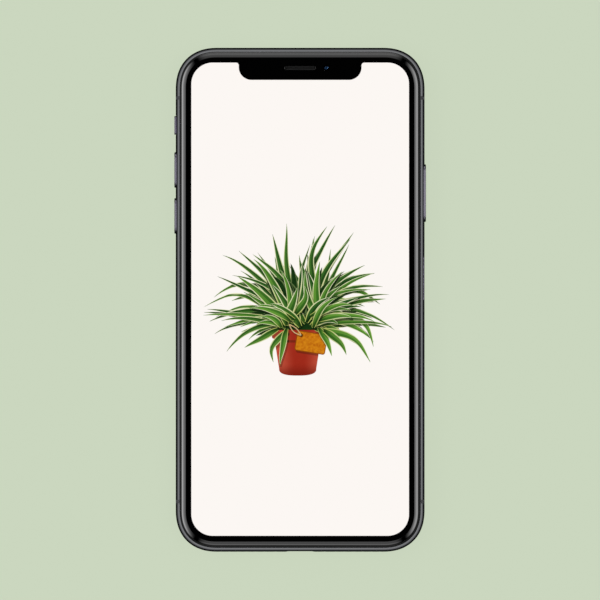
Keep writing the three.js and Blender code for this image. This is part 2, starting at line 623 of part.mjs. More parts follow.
function addScrews() {
  const face = -SCREW.face;
  const neck = face + SCREW.headDepth;
  // One arm of the star in the head, turned about the screw's axis.
  const arm = (x, turn) => {
    const corners = [[-1, -1], [1, -1], [1, 1], [-1, 1]].map(([u, v]) => new THREE.Vector2(
      (u * STAR.length) / 2,
      (v * STAR.width) / 2,
    ).rotateAround(new THREE.Vector2(), turn).add(new THREE.Vector2(MIDDLE, x)));
    return along("y", new THREE.Shape(corners), face - PAST, face + STAR.depth);
  };
  for (const [name, x] of [["screw_left", -SCREW.x], ["screw_right", SCREW.x]]) {
    const head = bar("y", MIDDLE, x, SCREW.headRadius, face, neck, 12);
    const shank = bar("y", MIDDLE, x, SCREW.shankRadius, neck - FIT, -INNER_Y - 2 * RUN, 12);
    const arms = Array.from({ length: STAR.arms }, (_, i) => arm(x, (i * Math.PI) / STAR.arms));
    add(name, cut(head.add(shank), ...arms), "polishedSteel");
  }
}

addFrame();
addSeals();
addGlasses();
addDisplay();
addRibbon();
addSensors();
addChassis();
addBoard();
addTray();
addKeys();
addRearCameras();
addSound();
addSocket();
addScrews();

export default phone;
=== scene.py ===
"""A smartphone lying on its back: the looks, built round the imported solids.

Lengths are in millimetres until a mesh is made, which is in metres. X runs across the screen,
Y up the screen and Z out of it. Insets and depths are measured inwards from the silhouette.
"""
import json
import math
import random
from functools import partial

import bmesh
import bpy
import numpy as np
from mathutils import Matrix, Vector
from mathutils.geometry import delaunay_2d_cdt


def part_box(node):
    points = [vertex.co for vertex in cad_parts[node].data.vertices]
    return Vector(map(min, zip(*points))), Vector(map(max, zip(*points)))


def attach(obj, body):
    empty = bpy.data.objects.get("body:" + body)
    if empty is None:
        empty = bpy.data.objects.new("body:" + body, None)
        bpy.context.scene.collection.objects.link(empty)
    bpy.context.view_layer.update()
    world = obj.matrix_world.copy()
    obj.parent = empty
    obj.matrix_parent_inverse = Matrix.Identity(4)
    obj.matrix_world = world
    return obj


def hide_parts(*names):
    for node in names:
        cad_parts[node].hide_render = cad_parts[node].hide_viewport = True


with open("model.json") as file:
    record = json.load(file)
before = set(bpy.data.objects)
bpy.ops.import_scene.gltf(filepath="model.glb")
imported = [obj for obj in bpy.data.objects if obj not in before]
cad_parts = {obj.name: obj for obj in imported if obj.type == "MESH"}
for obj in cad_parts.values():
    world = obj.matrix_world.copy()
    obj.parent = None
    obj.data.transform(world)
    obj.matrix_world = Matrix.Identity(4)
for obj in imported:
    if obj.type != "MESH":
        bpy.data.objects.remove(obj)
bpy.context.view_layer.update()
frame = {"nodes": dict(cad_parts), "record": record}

# ---- Sizes, from the solids ----
MM = 1000.0  # millimetres in a metre


def box(node):
    """Lowest and highest corner of a solid, in millimetres."""
    low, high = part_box(node)
    return np.array(low) * MM, np.array(high) * MM


def middle(node):
    low, high = box(node)
    return (low + high) / 2


def size(node):
    low, high = box(node)
    return high - low


(_, _, FRAME_LOW), (_, RAIL_END, FRAME_HIGH) = box("frame_left")
(_, CAP_START, _), (_, HALF_LENGTH, _) = box("frame_top")
(_, _, GLASS_LOW), (GLASS_EDGE, _, THICKNESS) = box("cover_glass")
HALF_WIDTH = box("frame_right")[1][0]
MIDDLE = THICKNESS / 2
GLASS_INSET = HALF_WIDTH - GLASS_EDGE
CAMERA_X, SENSOR_Y, _ = middle("front_camera")

# The rolled edge and the eased corners, the same as in the solids.
EDGE_INSET = 2.9  # how far the flat faces lie inside the silhouette
BELT = 0.9  # flat stretch at mid thickness
ROLL = (THICKNESS - BELT) / 2
CORNER_RADIUS = 10.66
CORNER_POWER = 2.3
CORNER_REACH = 1.126  # how far a corner reaches along the sides, in radii
WALL = 2.6  # inner face of the frame
RUN = 0.1  # clearance round what moves
PAST = 1.0  # how far a cutter runs past what it cuts

# The lit area.
SCREEN_WIDTH = 62.0
SCREEN_LENGTH = 134.75
SCREEN_CORNER = 6.1
NOTCH_WIDTH = 34.95
NOTCH_DEPTH = 4.92
NOTCH_CORNER = 3.6
NOTCH_FLARE = 0.8  # rounding where the notch meets the top of the lit area
SCREEN_SHIFT = 0.16  # the lit area sits this much nearer the top

# Fineness of the curves.
CORNER_STEPS = 40
ROUND_STEPS = 10
ROLL_STEPS = 18
FILLET_STEPS = 4
CROWN_STEPS = 5
CROWN_REACH = 0.98  # share of the way to its middle that the rings of a cap go
SMOOTH_ANGLE = math.radians(32)
WELD = 1e-4  # points nearer than this become one
LEVEL = 0.99999  # least upright share in the normal of a level face


# ---- Colours ----
def srgb(*values):
    """A colour of 0 to 255 as the linear numbers that a shader takes."""
    shares = [value / 255 for value in values]
    return (*(s / 12.92 if s <= 0.04045 else ((s + 0.055) / 1.055) ** 2.4 for s in shares), 1.0)


def scaled(color, share):
    """A colour made darker or lighter."""
    return [min(1, c * share) for c in color[:3]] + [1]


BACKDROP = srgb(204, 216, 192)


# ---- Outlines and shells ----
def rounded_rect(u, v, width, height, reach, steps=ROUND_STEPS, power=2.0):
    """Corner points of an eased rectangle, counterclockwise, as many whatever its size."""
    turn = np.linspace(0, math.pi / 2, steps + 1)
    quarters = []
    for quarter, (side_u, side_v) in enumerate(((1, 1), (-1, 1), (-1, -1), (1, -1))):
        angle = turn + quarter * math.pi / 2
        reach_u = reach * np.abs(np.cos(angle)) ** (2 / power)
        reach_v = reach * np.abs(np.sin(angle)) ** (2 / power)
        quarters.append(np.column_stack((
            u + side_u * (width / 2 - reach + reach_u),
            v + side_v * (height / 2 - reach + reach_v),
        )))
    return np.vstack(quarters)


def pill(u, v, width, height, grow=0.0):
    half = min(width, height) / 2 + grow
    return rounded_rect(u, v, width + 2 * grow, height + 2 * grow, half)


def circle(u, v, radius, count=32):
    angle = np.linspace(0, 2 * math.pi, count, endpoint=False)
    return np.column_stack((u + radius * np.cos(angle), v + radius * np.sin(angle)))


def body_outline(inset):
    """The phone's plan outline moved in by inset."""
    return rounded_rect(0, 0, 2 * (HALF_WIDTH - inset), 2 * (HALF_LENGTH - inset),
                        CORNER_REACH * (CORNER_RADIUS - inset), CORNER_STEPS, CORNER_POWER)


def skin(height):
    """Depth of the rolled outside below the silhouette at a height."""
    above = np.clip((np.abs(np.asarray(height, float) - MIDDLE) - BELT / 2) / ROLL, 0, 1)
    return EDGE_INSET * (1 - np.sqrt(1 - above ** 2))


def roll_points(low, high, steps=ROLL_STEPS):
    """(inset, height) along the upper roll from one height to another, evenly in angle."""
    angles = [math.asin(np.clip((z - MIDDLE - BELT / 2) / ROLL, 0, 1)) for z in (low, high)]
    heights = MIDDLE + BELT / 2 + ROLL * np.sin(np.linspace(*angles, steps + 1))
    return [(float(skin(z)), float(z)) for z in heights]


def rounding(radius, steps=FILLET_STEPS):
    """(sideways, inwards) at points round a quarter of a circle, from its flank to its crest."""
    return [(radius * (1 - math.cos(angle)), radius * (1 - math.sin(angle)))
            for angle in np.linspace(0, math.pi / 2, steps + 1)]


def flipped(points):
    """(inset, height) points seen in a mirror at mid thickness."""
    return [(inset, THICKNESS - z) for inset, z in points]


def level(points, z):
    """Plan points at a height."""
    return np.column_stack((points, np.full(len(points), z)))


def loft(rings, wrap=False):
    """A closed shell through rings of points. wrap joins the last to the first, else both ends
    are filled."""
    count = len(rings[0])
    faces = []
    for i in range(len(rings) if wrap else len(rings) - 1):
        start, end = i * count, (i + 1) % len(rings) * count
        faces += [(start + k, start + (k + 1) % count, end + (k + 1) % count, end + k)
                  for k in range(count)]
    if not wrap:
        last = (len(rings) - 1) * count
        faces += [tuple(range(count))[::-1], tuple(range(last, last + count))]
    return np.vstack(rings), faces


def prism(points, low, high):
    return loft([level(points, low), level(points, high)])


def brick(low, high, ease=0.12):
    """A block between two corners, whose upright edges are eased by a share of its width."""
    (x0, y0, z0), (x1, y1, z1) = low, high
    plan = rounded_rect((x0 + x1) / 2, (y0 + y1) / 2, x1 - x0, y1 - y0,
                        ease * min(x1 - x0, y1 - y0), 2)
    return prism(plan, z0, z1)


def sweep(profile, path, wrap=False):
    """Moves a closed profile of (inset, height) along a path, a function of the inset."""
    columns = np.array([level(path(inset), z) for inset, z in profile])
    return loft(list(np.swapaxes(columns, 0, 1)), wrap)


def turned(x, y, profile, sides=48, wrap=True):
    """A shell of (radius, height) points turned about an upright axis."""
    return loft([level(circle(x, y, radius, sides), z) for radius, z in profile], wrap)


# Walls: (along, up, depth) on one side of the phone to points.
def on_side(side, u, v, depth):
    return np.column_stack((side * (HALF_WIDTH - depth) + 0 * u, u, v))


def on_bottom(u, v, depth):
    return np.column_stack((u, depth - HALF_LENGTH + 0 * u, v))


on_left, on_right = partial(on_side, -1), partial(on_side, 1)


def tunnel(wall, *rings):
    """A shell through rings of (outline, depth) in a wall."""
    return loft([wall(points[:, 0], points[:, 1], depth + 0 * points[:, 0])
                 for points, depth in rings])


def hole(wall, outline, deep=0.0, fillet=0.12, pocket=()):
    """A cutter for a hole with a rounded rim. outline gives its points grown by a length, and
    pocket the rings of a wider place behind it."""
    rings = [*pocket, (outline(0), pocket[-1][1] if pocket else deep)]
    for out, inward in rounding(fillet):
        points = outline(out)
        rings.append((points, skin(points[:, 1]) + inward))
    return tunnel(wall, *rings, (outline(fillet), -PAST))


def crowned(wall, outline, face, half, fillet, inner):
    """A cap with a rounded rim. face gives its depth at points, and inner the rings behind it.
    half is half its height: its last ring stops just short of closing to a line."""
    rings = list(inner)
    for out, inward in rounding(fillet, FILLET_STEPS + 1):
        points = outline(-out)
        rings.append((points, face(points) + inward))
    for share in np.linspace(0, 1, CROWN_STEPS + 1)[1:]:
        points = outline(-fillet - share * (half - fillet) * CROWN_REACH)
        rings.append((points, face(points)))
    return tunnel(wall, *rings)


# ---- Objects ----
def new_object(name, points, faces, *looks):
    """An object with a mesh of its own."""
    mesh = bpy.data.meshes.new(name)
    mesh.from_pydata(points / MM, [], faces)
    for look in looks:
        mesh.materials.append(look)
    made = bpy.data.objects.new(name, mesh)
    bpy.context.scene.collection.objects.link(made)
    return made


def new_piece(name, shells, *looks):
    """An object of closed shells, smooth except at sharp edges."""
    points, faces, first = [], [], 0
    for shell_points, shell_faces in shells:
        points.append(shell_points)
        faces += [tuple(first + i for i in face) for face in shell_faces]
        first += len(shell_points)
    piece = new_object(name, np.vstack(points), faces, *looks)
    shape = bmesh.new()
    shape.from_mesh(piece.data)
    bmesh.ops.remove_doubles(shape, verts=shape.verts, dist=WELD / MM)
    write_back(shape, piece.data)
    smooth(piece.data)
    return piece


def write_back(shape, mesh):
    bmesh.ops.recalc_face_normals(shape, faces=shape.faces)
    shape.to_mesh(mesh)
    shape.free()


def smooth(mesh):
    mesh.shade_smooth()
    mesh.set_sharp_from_angle(angle=SMOOTH_ANGLE)


def carve(piece, *shells):
    """Cuts closed shells out of a piece."""
    for shell in shells:
        cutter = new_piece("cutter", [shell])
        modifier = piece.modifiers.new("carve", "BOOLEAN")
        modifier.operation = "DIFFERENCE"
        modifier.solver = "EXACT"
        modifier.object = cutter
        graph = bpy.context.evaluated_depsgraph_get()
        mesh = bpy.data.meshes.new_from_object(piece.evaluated_get(graph), depsgraph=graph)
        piece.modifiers.clear()
        piece.data = mesh
        bpy.data.objects.remove(cutter)
    smooth(piece.data)


def fit(piece, slot, *nodes, body="chassis"):
    """Puts a piece on its body, in the place of the solids that it stands for."""
    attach(piece, body)
    if nodes:
        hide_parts(*nodes)


def add(name, look, slot, shells, *nodes, body="chassis", cuts=()):
    """A finished piece of closed shells, cut where asked, on its body."""
    piece = new_piece(name, shells, look)
    if cuts:
        carve(piece, *cuts)
    fit(piece, slot, *nodes, body=body)
    return piece


def set_attribute(mesh, name, domain, values):
    attribute = mesh.attributes.new(name, "FLOAT", domain)
    attribute.data.foreach_set("value", np.asarray(values, np.float32))


# ---- Shader helpers ----
class Shader:
    """A node tree being built, with short calls for the nodes that the looks use."""

    def __init__(self, name, kind="BsdfPrincipled", world=False):
        self.look = (bpy.data.worlds if world else bpy.data.materials).new(name)
        self.look.use_nodes = True
        self.tree = self.look.node_tree
        self.tree.nodes.clear()
        self.main = self.node(kind)
        output = self.node("OutputWorld" if world else "OutputMaterial")
        self.link(self.main.outputs[0], output.inputs["Surface"])
        self.place = self.node("TexCoord").outputs["Generated" if world else "Object"]

    def link(self, source, target):
        self.tree.links.new(source, target)

    def feed(self, target, value):
        """Links an output to a socket, or sets the socket's own value."""
        if isinstance(value, bpy.types.NodeSocket):
            self.link(value, target)
        else:
            target.default_value = value

    def node(self, kind, inputs=None, **settings):
        """A new node. inputs gives what feeds its sockets, by name or number."""
        made = self.tree.nodes.new("ShaderNode" + kind)
        for name, value in settings.items():
            setattr(made, name, value)
        for key, value in (inputs or {}).items():
            self.feed(made.inputs[key], value)
        return made

    def set(self, **values):
        for name, value in values.items():
            self.feed(self.main.inputs[name.replace("_", " ")], value)
        return self

    def math(self, operation, *values):
        return self.node("Math", dict(enumerate(values)), operation=operation).outputs[0]

    def attribute(self, name):
        return self.node("Attribute", attribute_name=name).outputs["Fac"]

    def ramp(self, value, low, high, start=0.0, end=1.0, kind="LINEAR"):
        """Goes from low to high while the value goes from start to end."""
        inputs = dict(enumerate((value, start, end, low, high)))
        return self.node("MapRange", inputs, interpolation_type=kind).outputs[0]

    def fade(self, value, start, end, low=0.0, high=1.0):
        """The same with smooth ends."""
        return self.ramp(value, low, high, start, end, "SMOOTHSTEP")

    def mix(self, share, first, second, blend="MIX"):
        inputs = {"Factor": share, 6: first, 7: second}
        return self.node("Mix", inputs, data_type="RGBA", blend_type=blend).outputs[2]

    def mapped(self, **inputs):
        return self.node("Mapping", {**inputs, "Vector": self.place}).outputs["Vector"]

    def noise(self, scale, detail=3.0, vector=None):
        inputs = {"Scale": scale, "Detail": detail, "Vector": vector or self.place}
        return self.node("TexNoise", inputs).outputs["Fac"]

    def wave(self, pitch, centre=(0, 0, 0), **settings):
        """Bands or rings a pitch apart, in millimetres."""
        moved = self.mapped(Location=[-c / MM for c in centre])
        inputs = {"Scale": math.pi / 10 * MM / pitch, "Vector": moved}
        return self.node("TexWave", inputs, **settings).outputs["Fac"]

    def bump(self, height, distance):
        made = self.node("Bump", {"Strength": 1.0, "Distance": distance / MM, "Height": height})
        self.link(made.outputs["Normal"], self.main.inputs["Normal"])

    def pattern(self, value, low, high, bump, **sockets):
        """The finish whose colour and relief both follow a pattern."""
        self.set(Base_Color=self.mix(value, low, high), **sockets)
        self.bump(value, bump)
        return self.look


# ---- Looks ----
def surface(name, color, roughness, metallic=0.0, vary=0.12, scale=2500.0, bump=0.004,
            stretch=(1, 1, 1), **sockets):
    """A finish whose colour and roughness wander a little, with a fine relief."""
    shader = Shader(name)
    grain = shader.noise(scale, vector=shader.mapped(Scale=stretch))
    low, high = 1 - vary, 1 + vary
    shader.set(
        Base_Color=shader.mix(grain, scaled(color, low), scaled(color, high)),
        Roughness=shader.ramp(grain, roughness * low, min(1, roughness * high)),
        Metallic=metallic,
        **sockets,
    )
    if bump:
        shader.bump(grain, bump)
    return shader.look


def polished_steel(name, color, roughness):
    """Dark mirror steel, whose reflection dies away towards the silhouette."""
    shader = Shader(name)
    smear = shader.noise(120, 4)
    return shader.set(
        Base_Color=shader.mix(smear, scaled(color, 0.95), scaled(color, 1.05)),
        Metallic=1.0,
        Roughness=shader.ramp(smear, roughness, 2 * roughness),
        Specular_Tint=(0, 0, 0, 1),
    ).look


def black_glass(name, color=(0.0002, 0.0002, 0.00022, 1), ior=1.5):
    shader = Shader(name)
    smear = shader.noise(60, 5)
    return shader.set(
        Base_Color=shader.mix(smear, color, scaled(color, 1.3)),
        Roughness=shader.ramp(smear, 0.02, 0.05),
        IOR=ior,
    ).look


def clear_glass():
    sockets = {"Base_Color": (1, 1, 1, 1), "Roughness": 0.0, "IOR": 1.45}
    return Shader("clear_glass").set(Transmission_Weight=1.0, **sockets).look


def lens_coating(name, tint):
    sockets = {"Base_Color": (0.001, 0.0015, 0.004, 1), "Roughness": 0.05, "IOR": 1.55}
    return Shader(name).set(Specular_Tint=tint, **sockets).look


def wire_cloth():
    """Fine woven wire, as two crossing waves."""
    shader = Shader("wire_cloth")
    weave = shader.math("MAXIMUM", *(shader.wave(0.18, bands_direction=axis) for axis in "XY"))
    return shader.pattern(weave, (0.004, 0.004, 0.004, 1), (0.06, 0.06, 0.06, 1), 0.03,
                          Metallic=0.7, Roughness=0.45)


def wound_copper():
    """Lacquered wire wound flat, as rings round the coil's axis."""
    shader = Shader("wound_copper")
    turns = shader.wave(0.5, middle("charging_coil"), wave_type="RINGS", rings_direction="Z")
    return shader.pattern(turns, (0.12, 0.04, 0.015, 1), (0.80, 0.42, 0.20, 1), 0.08,
                          Metallic=1.0, Roughness=0.3)


def solder_mask():
    """A dark green board with raised copper traces under its mask."""
    shader = Shader("solder_mask")
    cells = shader.node("TexVoronoi", {"Vector": shader.place}, feature="DISTANCE_TO_EDGE")
    cells.inputs["Scale"].default_value = 900
    trace = shader.ramp(cells.outputs["Distance"], 1, 0, 0.04, 0.07)
    return shader.pattern(trace, (0.008, 0.03, 0.016, 1), (0.02, 0.075, 0.035, 1), 0.02,
                          Roughness=shader.ramp(shader.noise(2000), 0.3, 0.5))


def polyimide():
    """Amber film over side by side copper tracks."""
    shader = Shader("polyimide")
    tracks = shader.wave(0.4, bands_direction="X")
    return shader.pattern(tracks, (0.16, 0.055, 0.012, 1), (0.36, 0.15, 0.035, 1), 0.02,
                          Roughness=shader.ramp(shader.noise(900), 0.28, 0.42))


STEEL = polished_steel("polished_steel", (0.31, 0.28, 0.375), 0.04)
KEY_STEEL = polished_steel("satin_steel", (0.085, 0.081, 0.098), 0.16)
GLASS = black_glass("black_glass")
COATED_GLASS = black_glass("coated_glass", ior=1.15)
BACK_GLASS = black_glass("back_glass", (0.010, 0.010, 0.012, 1))
CLEAR = clear_glass()
BLUE_LENS = lens_coating("blue_lens", (0.16, 0.42, 1.0, 1))
VIOLET_LENS = lens_coating("violet_lens", (0.5, 0.3, 1.0, 1))
SEAL = surface("seal_rubber", (0.002, 0.002, 0.0022), 0.16, scale=3000, bump=0.002)
ANTENNA = surface("antenna_plastic", (0.04, 0.039, 0.045), 0.42, Specular_IOR_Level=0.15)
BLACK = surface("black_plastic", (0.008, 0.008, 0.009), 0.45)
BAFFLE = surface("baffle_black", (0.0006, 0.0006, 0.0007), 0.8, Specular_IOR_Level=0.02)
MESH = wire_cloth()
WIRE = surface("blackened_wire", (0.003, 0.003, 0.003), 0.5, scale=4000, bump=0.002,
               Specular_IOR_Level=0.08)
PRESSED = surface("pressed_steel", (0.42, 0.43, 0.45), 0.34, 1.0, scale=700, stretch=(1, 8, 1))
GOLD = surface("gold_plate", (0.80, 0.56, 0.24), 0.28, 1.0, bump=0.003)
CARD_PLASTIC = surface("card_plastic", (0.80, 0.80, 0.78), 0.45, vary=0.03, scale=1200)
DIFFUSER = surface("flash_diffuser", (0.80, 0.72, 0.40), 0.22, vary=0.2, scale=1500, bump=0,
                   Specular_IOR_Level=0.7)

# Finishes of the solids that are used as they are, by their slot.
SOLID_LOOKS = {
    "inner_aluminium": surface("blasted_aluminium", (0.58, 0.59, 0.61), 0.45, 1.0, scale=2600,
                               bump=0.01),
    "inner_steel": PRESSED,
    "copper": wound_copper(),
    "ferrite": surface("sintered_ferrite", (0.07, 0.07, 0.075), 0.75, vary=0.25, scale=1800,
                       bump=0.01),
    "battery_foil": surface("pouch_foil", (0.05, 0.05, 0.055), 0.36, 0.3, vary=0.25, scale=180,
                            bump=0.08),
    "board": solder_mask(),
    "flex": polyimide(),
    "fine_mesh": MESH,
    "lens_glass": BLUE_LENS,
    "seal_plastic": BLACK,
}


# ---- Studio ----
PIXELS = 600
PIXEL = 0.28495  # millimetres in a pixel of the photograph
BODY_CENTRE = (300.15, 299.77)  # of the phone, in those pixels
LENS, SENSOR = 1000.0, 36.0
VIEW_PLANE = 5.0  # height that the scale holds for, between the silhouette and the glass


def add_camera():
    data = bpy.data.cameras.new("camera")
    data.lens, data.sensor_width = LENS, SENSOR
    data.clip_start, data.clip_end = 0.1, 10
    camera = bpy.data.objects.new("camera", data)
    camera.location = Vector((
        (PIXELS / 2 - BODY_CENTRE[0]) * PIXEL,
        (BODY_CENTRE[1] - PIXELS / 2) * PIXEL,
        VIEW_PLANE + PIXELS * PIXEL * LENS / SENSOR,
    )) / MM
    scene = bpy.context.scene
    scene.view_settings.view_transform = "Standard"
    scene.collection.objects.link(camera)
    scene.camera = camera


# The long soft boxes round the phone: the way that each lies, between which cosines off that
# way it fades in, and its radiance by degrees from the zenith.
LIGHTS = (
    ((-1, 0), (0.59, 1.0), (
        (0, 0), (2, 0), (3.5, 1.7), (18, 3.0), (32, 4.8), (45, 9.3), (51, 10.0), (55, 4.0),
        (59, 0.4), (90, 0),
    )),
    ((1, 0), (0.58, 1.0), (
        (0, 0), (1.3, 0), (1.9, 2.7), (15, 3.7), (28, 6.9), (42, 7.2), (46, 6.6), (48, 0.4),
        (90, 0),
    )),
    ((0, 1), (0.86, 1.0), (
        (0, 0), (3, 0), (7, 0.5), (19, 1.5), (33, 1.4), (46, 2.4), (64, 2.9), (72, 2.5),
        (78, 0.4), (90, 0),
    )),
    ((0, -1), (0.86, 1.0), (
        (0, 0), (1.7, 0), (2.3, 2.0), (12, 1.4), (26, 1.4), (39, 2.8), (43, 2.6), (47, 0.5),
        (90, 0),
    )),
)
LIGHT_TOP = 12.0
HORIZON = (0.16, 0.17, 0.16, 1)


def add_world():
    """Soft boxes painted on the surroundings, dark straight above, with a dim pale horizon."""
    sky = Shader("studio", "Background", world=True)
    bpy.context.scene.world = sky.look
    x, y, z = sky.node("SeparateXYZ", {0: sky.place}).outputs

    def along(share_x, share_y):
        return sky.math("ADD", sky.math("MULTIPLY", x, share_x), sky.math("MULTIPLY", y, share_y))
    flat = sky.math("MAXIMUM", sky.math("SQRT", along(x, y)), 1e-5)
    tilt = sky.math("DIVIDE", sky.math("ARCTAN2", flat, z), math.pi / 2)
    total = None
    for way, fade, steps in LIGHTS:
        ramp = sky.node("ValToRGB", {0: tilt})
        elements = ramp.color_ramp.elements
        for _ in steps[2:]:
            elements.new(0.5)
        for element, (degrees, radiance) in zip(elements, steps):
            element.position = degrees / 90
            element.color = (radiance / LIGHT_TOP,) * 3 + (1,)
        facing = sky.math("DIVIDE", along(*way), flat)
        lobe = sky.fade(facing, *fade, 0, LIGHT_TOP)
        light = sky.math("MULTIPLY", ramp.outputs[0], lobe)
        total = sky.math("ADD", total, light) if total else light
    glow = sky.mix(sky.fade(tilt, 0.6, 0.95), (0, 0, 0, 1), HORIZON)
    sky.set(Color=sky.mix(1.0, glow, total, "ADD"))


FLOOR_GLOW = 0.93  # share of its colour that the floor gives off, which keeps shadows faint
FLOOR_PAINT = 0.03  # share of it that reflects the lights
FLOOR_REACH = 2500.0
# Heights of the floor and of the ring of painted shade just over it.
FLOOR_HEIGHT, SHADE_RING_HEIGHT = -0.02, -0.01
# A ring of painted shade round the phone, which only gloss sees: how much floor shows through it
# by the way out.
SHADE_RING_FADE = ((-1, 0), (5, 0), (10, 0.33), (16, 0.68), (28, 1))


def add_floor():
    look = Shader("floor").set(
        Base_Color=scaled(BACKDROP, FLOOR_PAINT),
        Roughness=1.0,
        Specular_IOR_Level=0.0,
        Emission_Color=BACKDROP,
        Emission_Strength=FLOOR_GLOW,
    ).look
    corners = np.array([(-1, -1), (1, -1), (1, 1), (-1, 1)]) * FLOOR_REACH
    new_object("floor", level(corners, FLOOR_HEIGHT), [(0, 1, 2, 3)], look)


def add_painted_shade_ring():
    """A ring of painted shade on the floor, black at the phone and floor coloured further out.
    Only gloss sees it, as a painted reflection of shade that draws the frame's dark edge."""
    # It gives off its colour, black to the floor's: painted shade in the frame's reflection, not a
    # lamp.
    shader = Shader("card", "Emission")
    shader.set(Color=shader.mix(shader.attribute("fade"), (0, 0, 0, 1), BACKDROP))
    points, faces = loft([level(body_outline(-reach), SHADE_RING_HEIGHT) for reach, _ in SHADE_RING_FADE])
    card = new_object("card", points, faces[:-2], shader.look)
    fades = np.repeat([fade for _, fade in SHADE_RING_FADE], len(points) // len(SHADE_RING_FADE))
    set_attribute(card.data, "fade", "POINT", fades)
    for use in ("camera", "diffuse", "transmission", "volume_scatter", "shadow"):
        setattr(card, f"visible_{use}", False)


# ---- Frame ----
CHAMFER = 0.05
ANTENNA_GAP = 0.03  # between an antenna break and the steel on both its sides


def frame_profile():
    upper = roll_points(MIDDLE + BELT / 2, FRAME_HIGH - CHAMFER)[::-1]
    top = upper[0][0] + CHAMFER
    outside = upper + flipped(upper)[::-1]
    return [(WALL, FRAME_HIGH), (top, FRAME_HIGH), *outside, (top, FRAME_LOW), (WALL, FRAME_LOW)]


def rail_path(side, low, high):
    """A straight path along one side, between two places."""
    return lambda inset: np.array([(side * (HALF_WIDTH - inset), y) for y in (low, high)])


def cap_path(end):
    """From one rail round both corners of an end to the other rail."""
    def path(inset):
        half = body_outline(inset)[:2 * (CORNER_STEPS + 1)] * (1, end)
        start, finish = ((half[i][0], end * CAP_START) for i in (0, -1))
        return np.vstack((start, half, finish))
    return path


# The controls, and the flange that holds each one behind the wall.
PROUD = 0.4
FLANGE_OUTER, FLANGE_INNER = 1.75, 2.15  # depths
FLANGE_GROW, FLANGE_RISE = 0.7, 0.5  # how far a key's flange reaches past its cap each way
KEY_HEIGHT = 3.3
KEY_FILLET, MUTE_FILLET, TRAY_FILLET = 0.25, 0.16, 0.07
PLUNGER_RADIUS = 0.6
PLUNGER_TIP = 2.55
MUTE = (5.3, 1.7, 0.5)  # length, height, corner
MUTE_FLANGE = (6.2, 3.5, 0.3)
MUTE_TRAVEL = 1.0
CORNER_LEAST = 0.01
TRAY_CAP = (14.6, 3.0)  # length, height
TRAY_DEPTH = 1.6
TRAY_Y = middle("sim_tray")[1]
PIN_HOLE = (-5.4, 0.45)  # from the tray's middle, and radius
PIN_FLOOR = 0.3  # what is left of the cap behind it
FINE_FILLET = 0.08  # rims of the tray's opening and of its pin hole

tray_outline = partial(pill, TRAY_Y, MIDDLE, *TRAY_CAP)


def key_outlines(node):
    """Cap and flange outlines of a key, as functions of how much they are grown."""
    _, y, z = middle(node)
    length = size(node)[1] - 2 * FLANGE_GROW

    def flange(grow):
        reach = FLANGE_RISE + grow
        return rounded_rect(y, z, length + 2 * (FLANGE_GROW + grow), KEY_HEIGHT + 2 * reach, reach)
    return partial(pill, y, z, length, KEY_HEIGHT), flange


def mute_outlines(travel=0.0):
    """Those of the mute switch, lengthened downwards by its travel."""
    _, y, z = middle("mute_switch")

    def outline(plan, corner, grow):
        length, height = plan[0] + 2 * grow, plan[1] + travel + 2 * grow
        return rounded_rect(y, z - travel / 2, length, height, corner)

    def nub(grow):
        return outline(MUTE, max(CORNER_LEAST, MUTE[2] + grow), grow)
    return nub, partial(outline, MUTE_FLANGE, MUTE_FLANGE[2])


def control_cut(wall, outline, flange):
    """A cutter for the opening of a control, with room for its flange."""
    pocket = [(flange(RUN), WALL + PAST), (flange(RUN), FLANGE_OUTER - RUN / 2)]
    return hole(wall, lambda grow: outline(grow + RUN), pocket=pocket)


SOCKET = (8.6, 2.8)
SOUND_RADIUS = 0.75
SOUND_PLACES = [10.2 + 2.5 * i for i in range(6)]
SCREW_X = 6.9
SCREW_RADIUS = 0.75
SCREW_HEAD = 0.7
SCREW_PLAY = 0.05
SCREW_EASE = (0.09, 0.07)  # how far the head's rim is eased, across and inwards
THREAD_RADIUS = 0.5
OVERLAP = 0.1  # how far a cutter runs into the one before
BOTTOM_FILLET = 0.1


def bottom_cuts():
    """Openings of the socket, the sound holes and the screws."""
    def bore(x, radius, deep):
        return hole(on_bottom, lambda grow: circle(x, MIDDLE, radius + grow), deep, BOTTOM_FILLET)
    deep = WALL + PAST
    seat = HALF_LENGTH + box("screw_left")[0][1] + SCREW_HEAD + SCREW_PLAY
    cuts = [hole(on_bottom, partial(pill, 0, MIDDLE, *SOCKET), deep, BOTTOM_FILLET)]
    cuts += [bore(side * x, SOUND_RADIUS, deep) for x in SOUND_PLACES for side in (-1, 1)]
    for x in (-SCREW_X, SCREW_X):
        thread = circle(x, MIDDLE, THREAD_RADIUS)
        cuts += [bore(x, SCREW_RADIUS + SCREW_PLAY, seat),
                 tunnel(on_bottom, (thread, deep), (thread, seat - OVERLAP))]
    return cuts


SKIN_REACH = 0.004  # how near the rolled outside a polished point lies
SKIN_FACING = 0.99  # cosine within which its face looks the same way


def corner_arrays(mesh):
    """Normal, point and face normal at each face corner."""
    def read(items, field, width=3, kind=float):
        values = np.empty((len(items), width), kind)
        items.foreach_get(field, values.ravel())
        return values
    owners = read(mesh.loops, "vertex_index", 1, int).ravel()
    totals = read(mesh.polygons, "loop_total", 1, int).ravel()
    facing = np.repeat(read(mesh.polygons, "normal"), totals, axis=0)
    return read(mesh.corner_normals, "vector"), read(mesh.vertices, "co")[owners] * MM, facing


def flatten(piece):
    """Gives the level faces level normals, so that they mirror as one sheet."""
    normals, _, facing = corner_arrays(piece.data)
    level_faces = np.abs(facing[:, 2]) > LEVEL
    normals[level_faces] = facing[level_faces]
    piece.data.normals_split_custom_set(normals.tolist())


def coat(piece, look):
    """Gives the level faces a finish of their own."""
    piece.data.materials.append(look)
    for face in piece.data.polygons:
        face.material_index = int(abs(face.normal.z) > LEVEL)


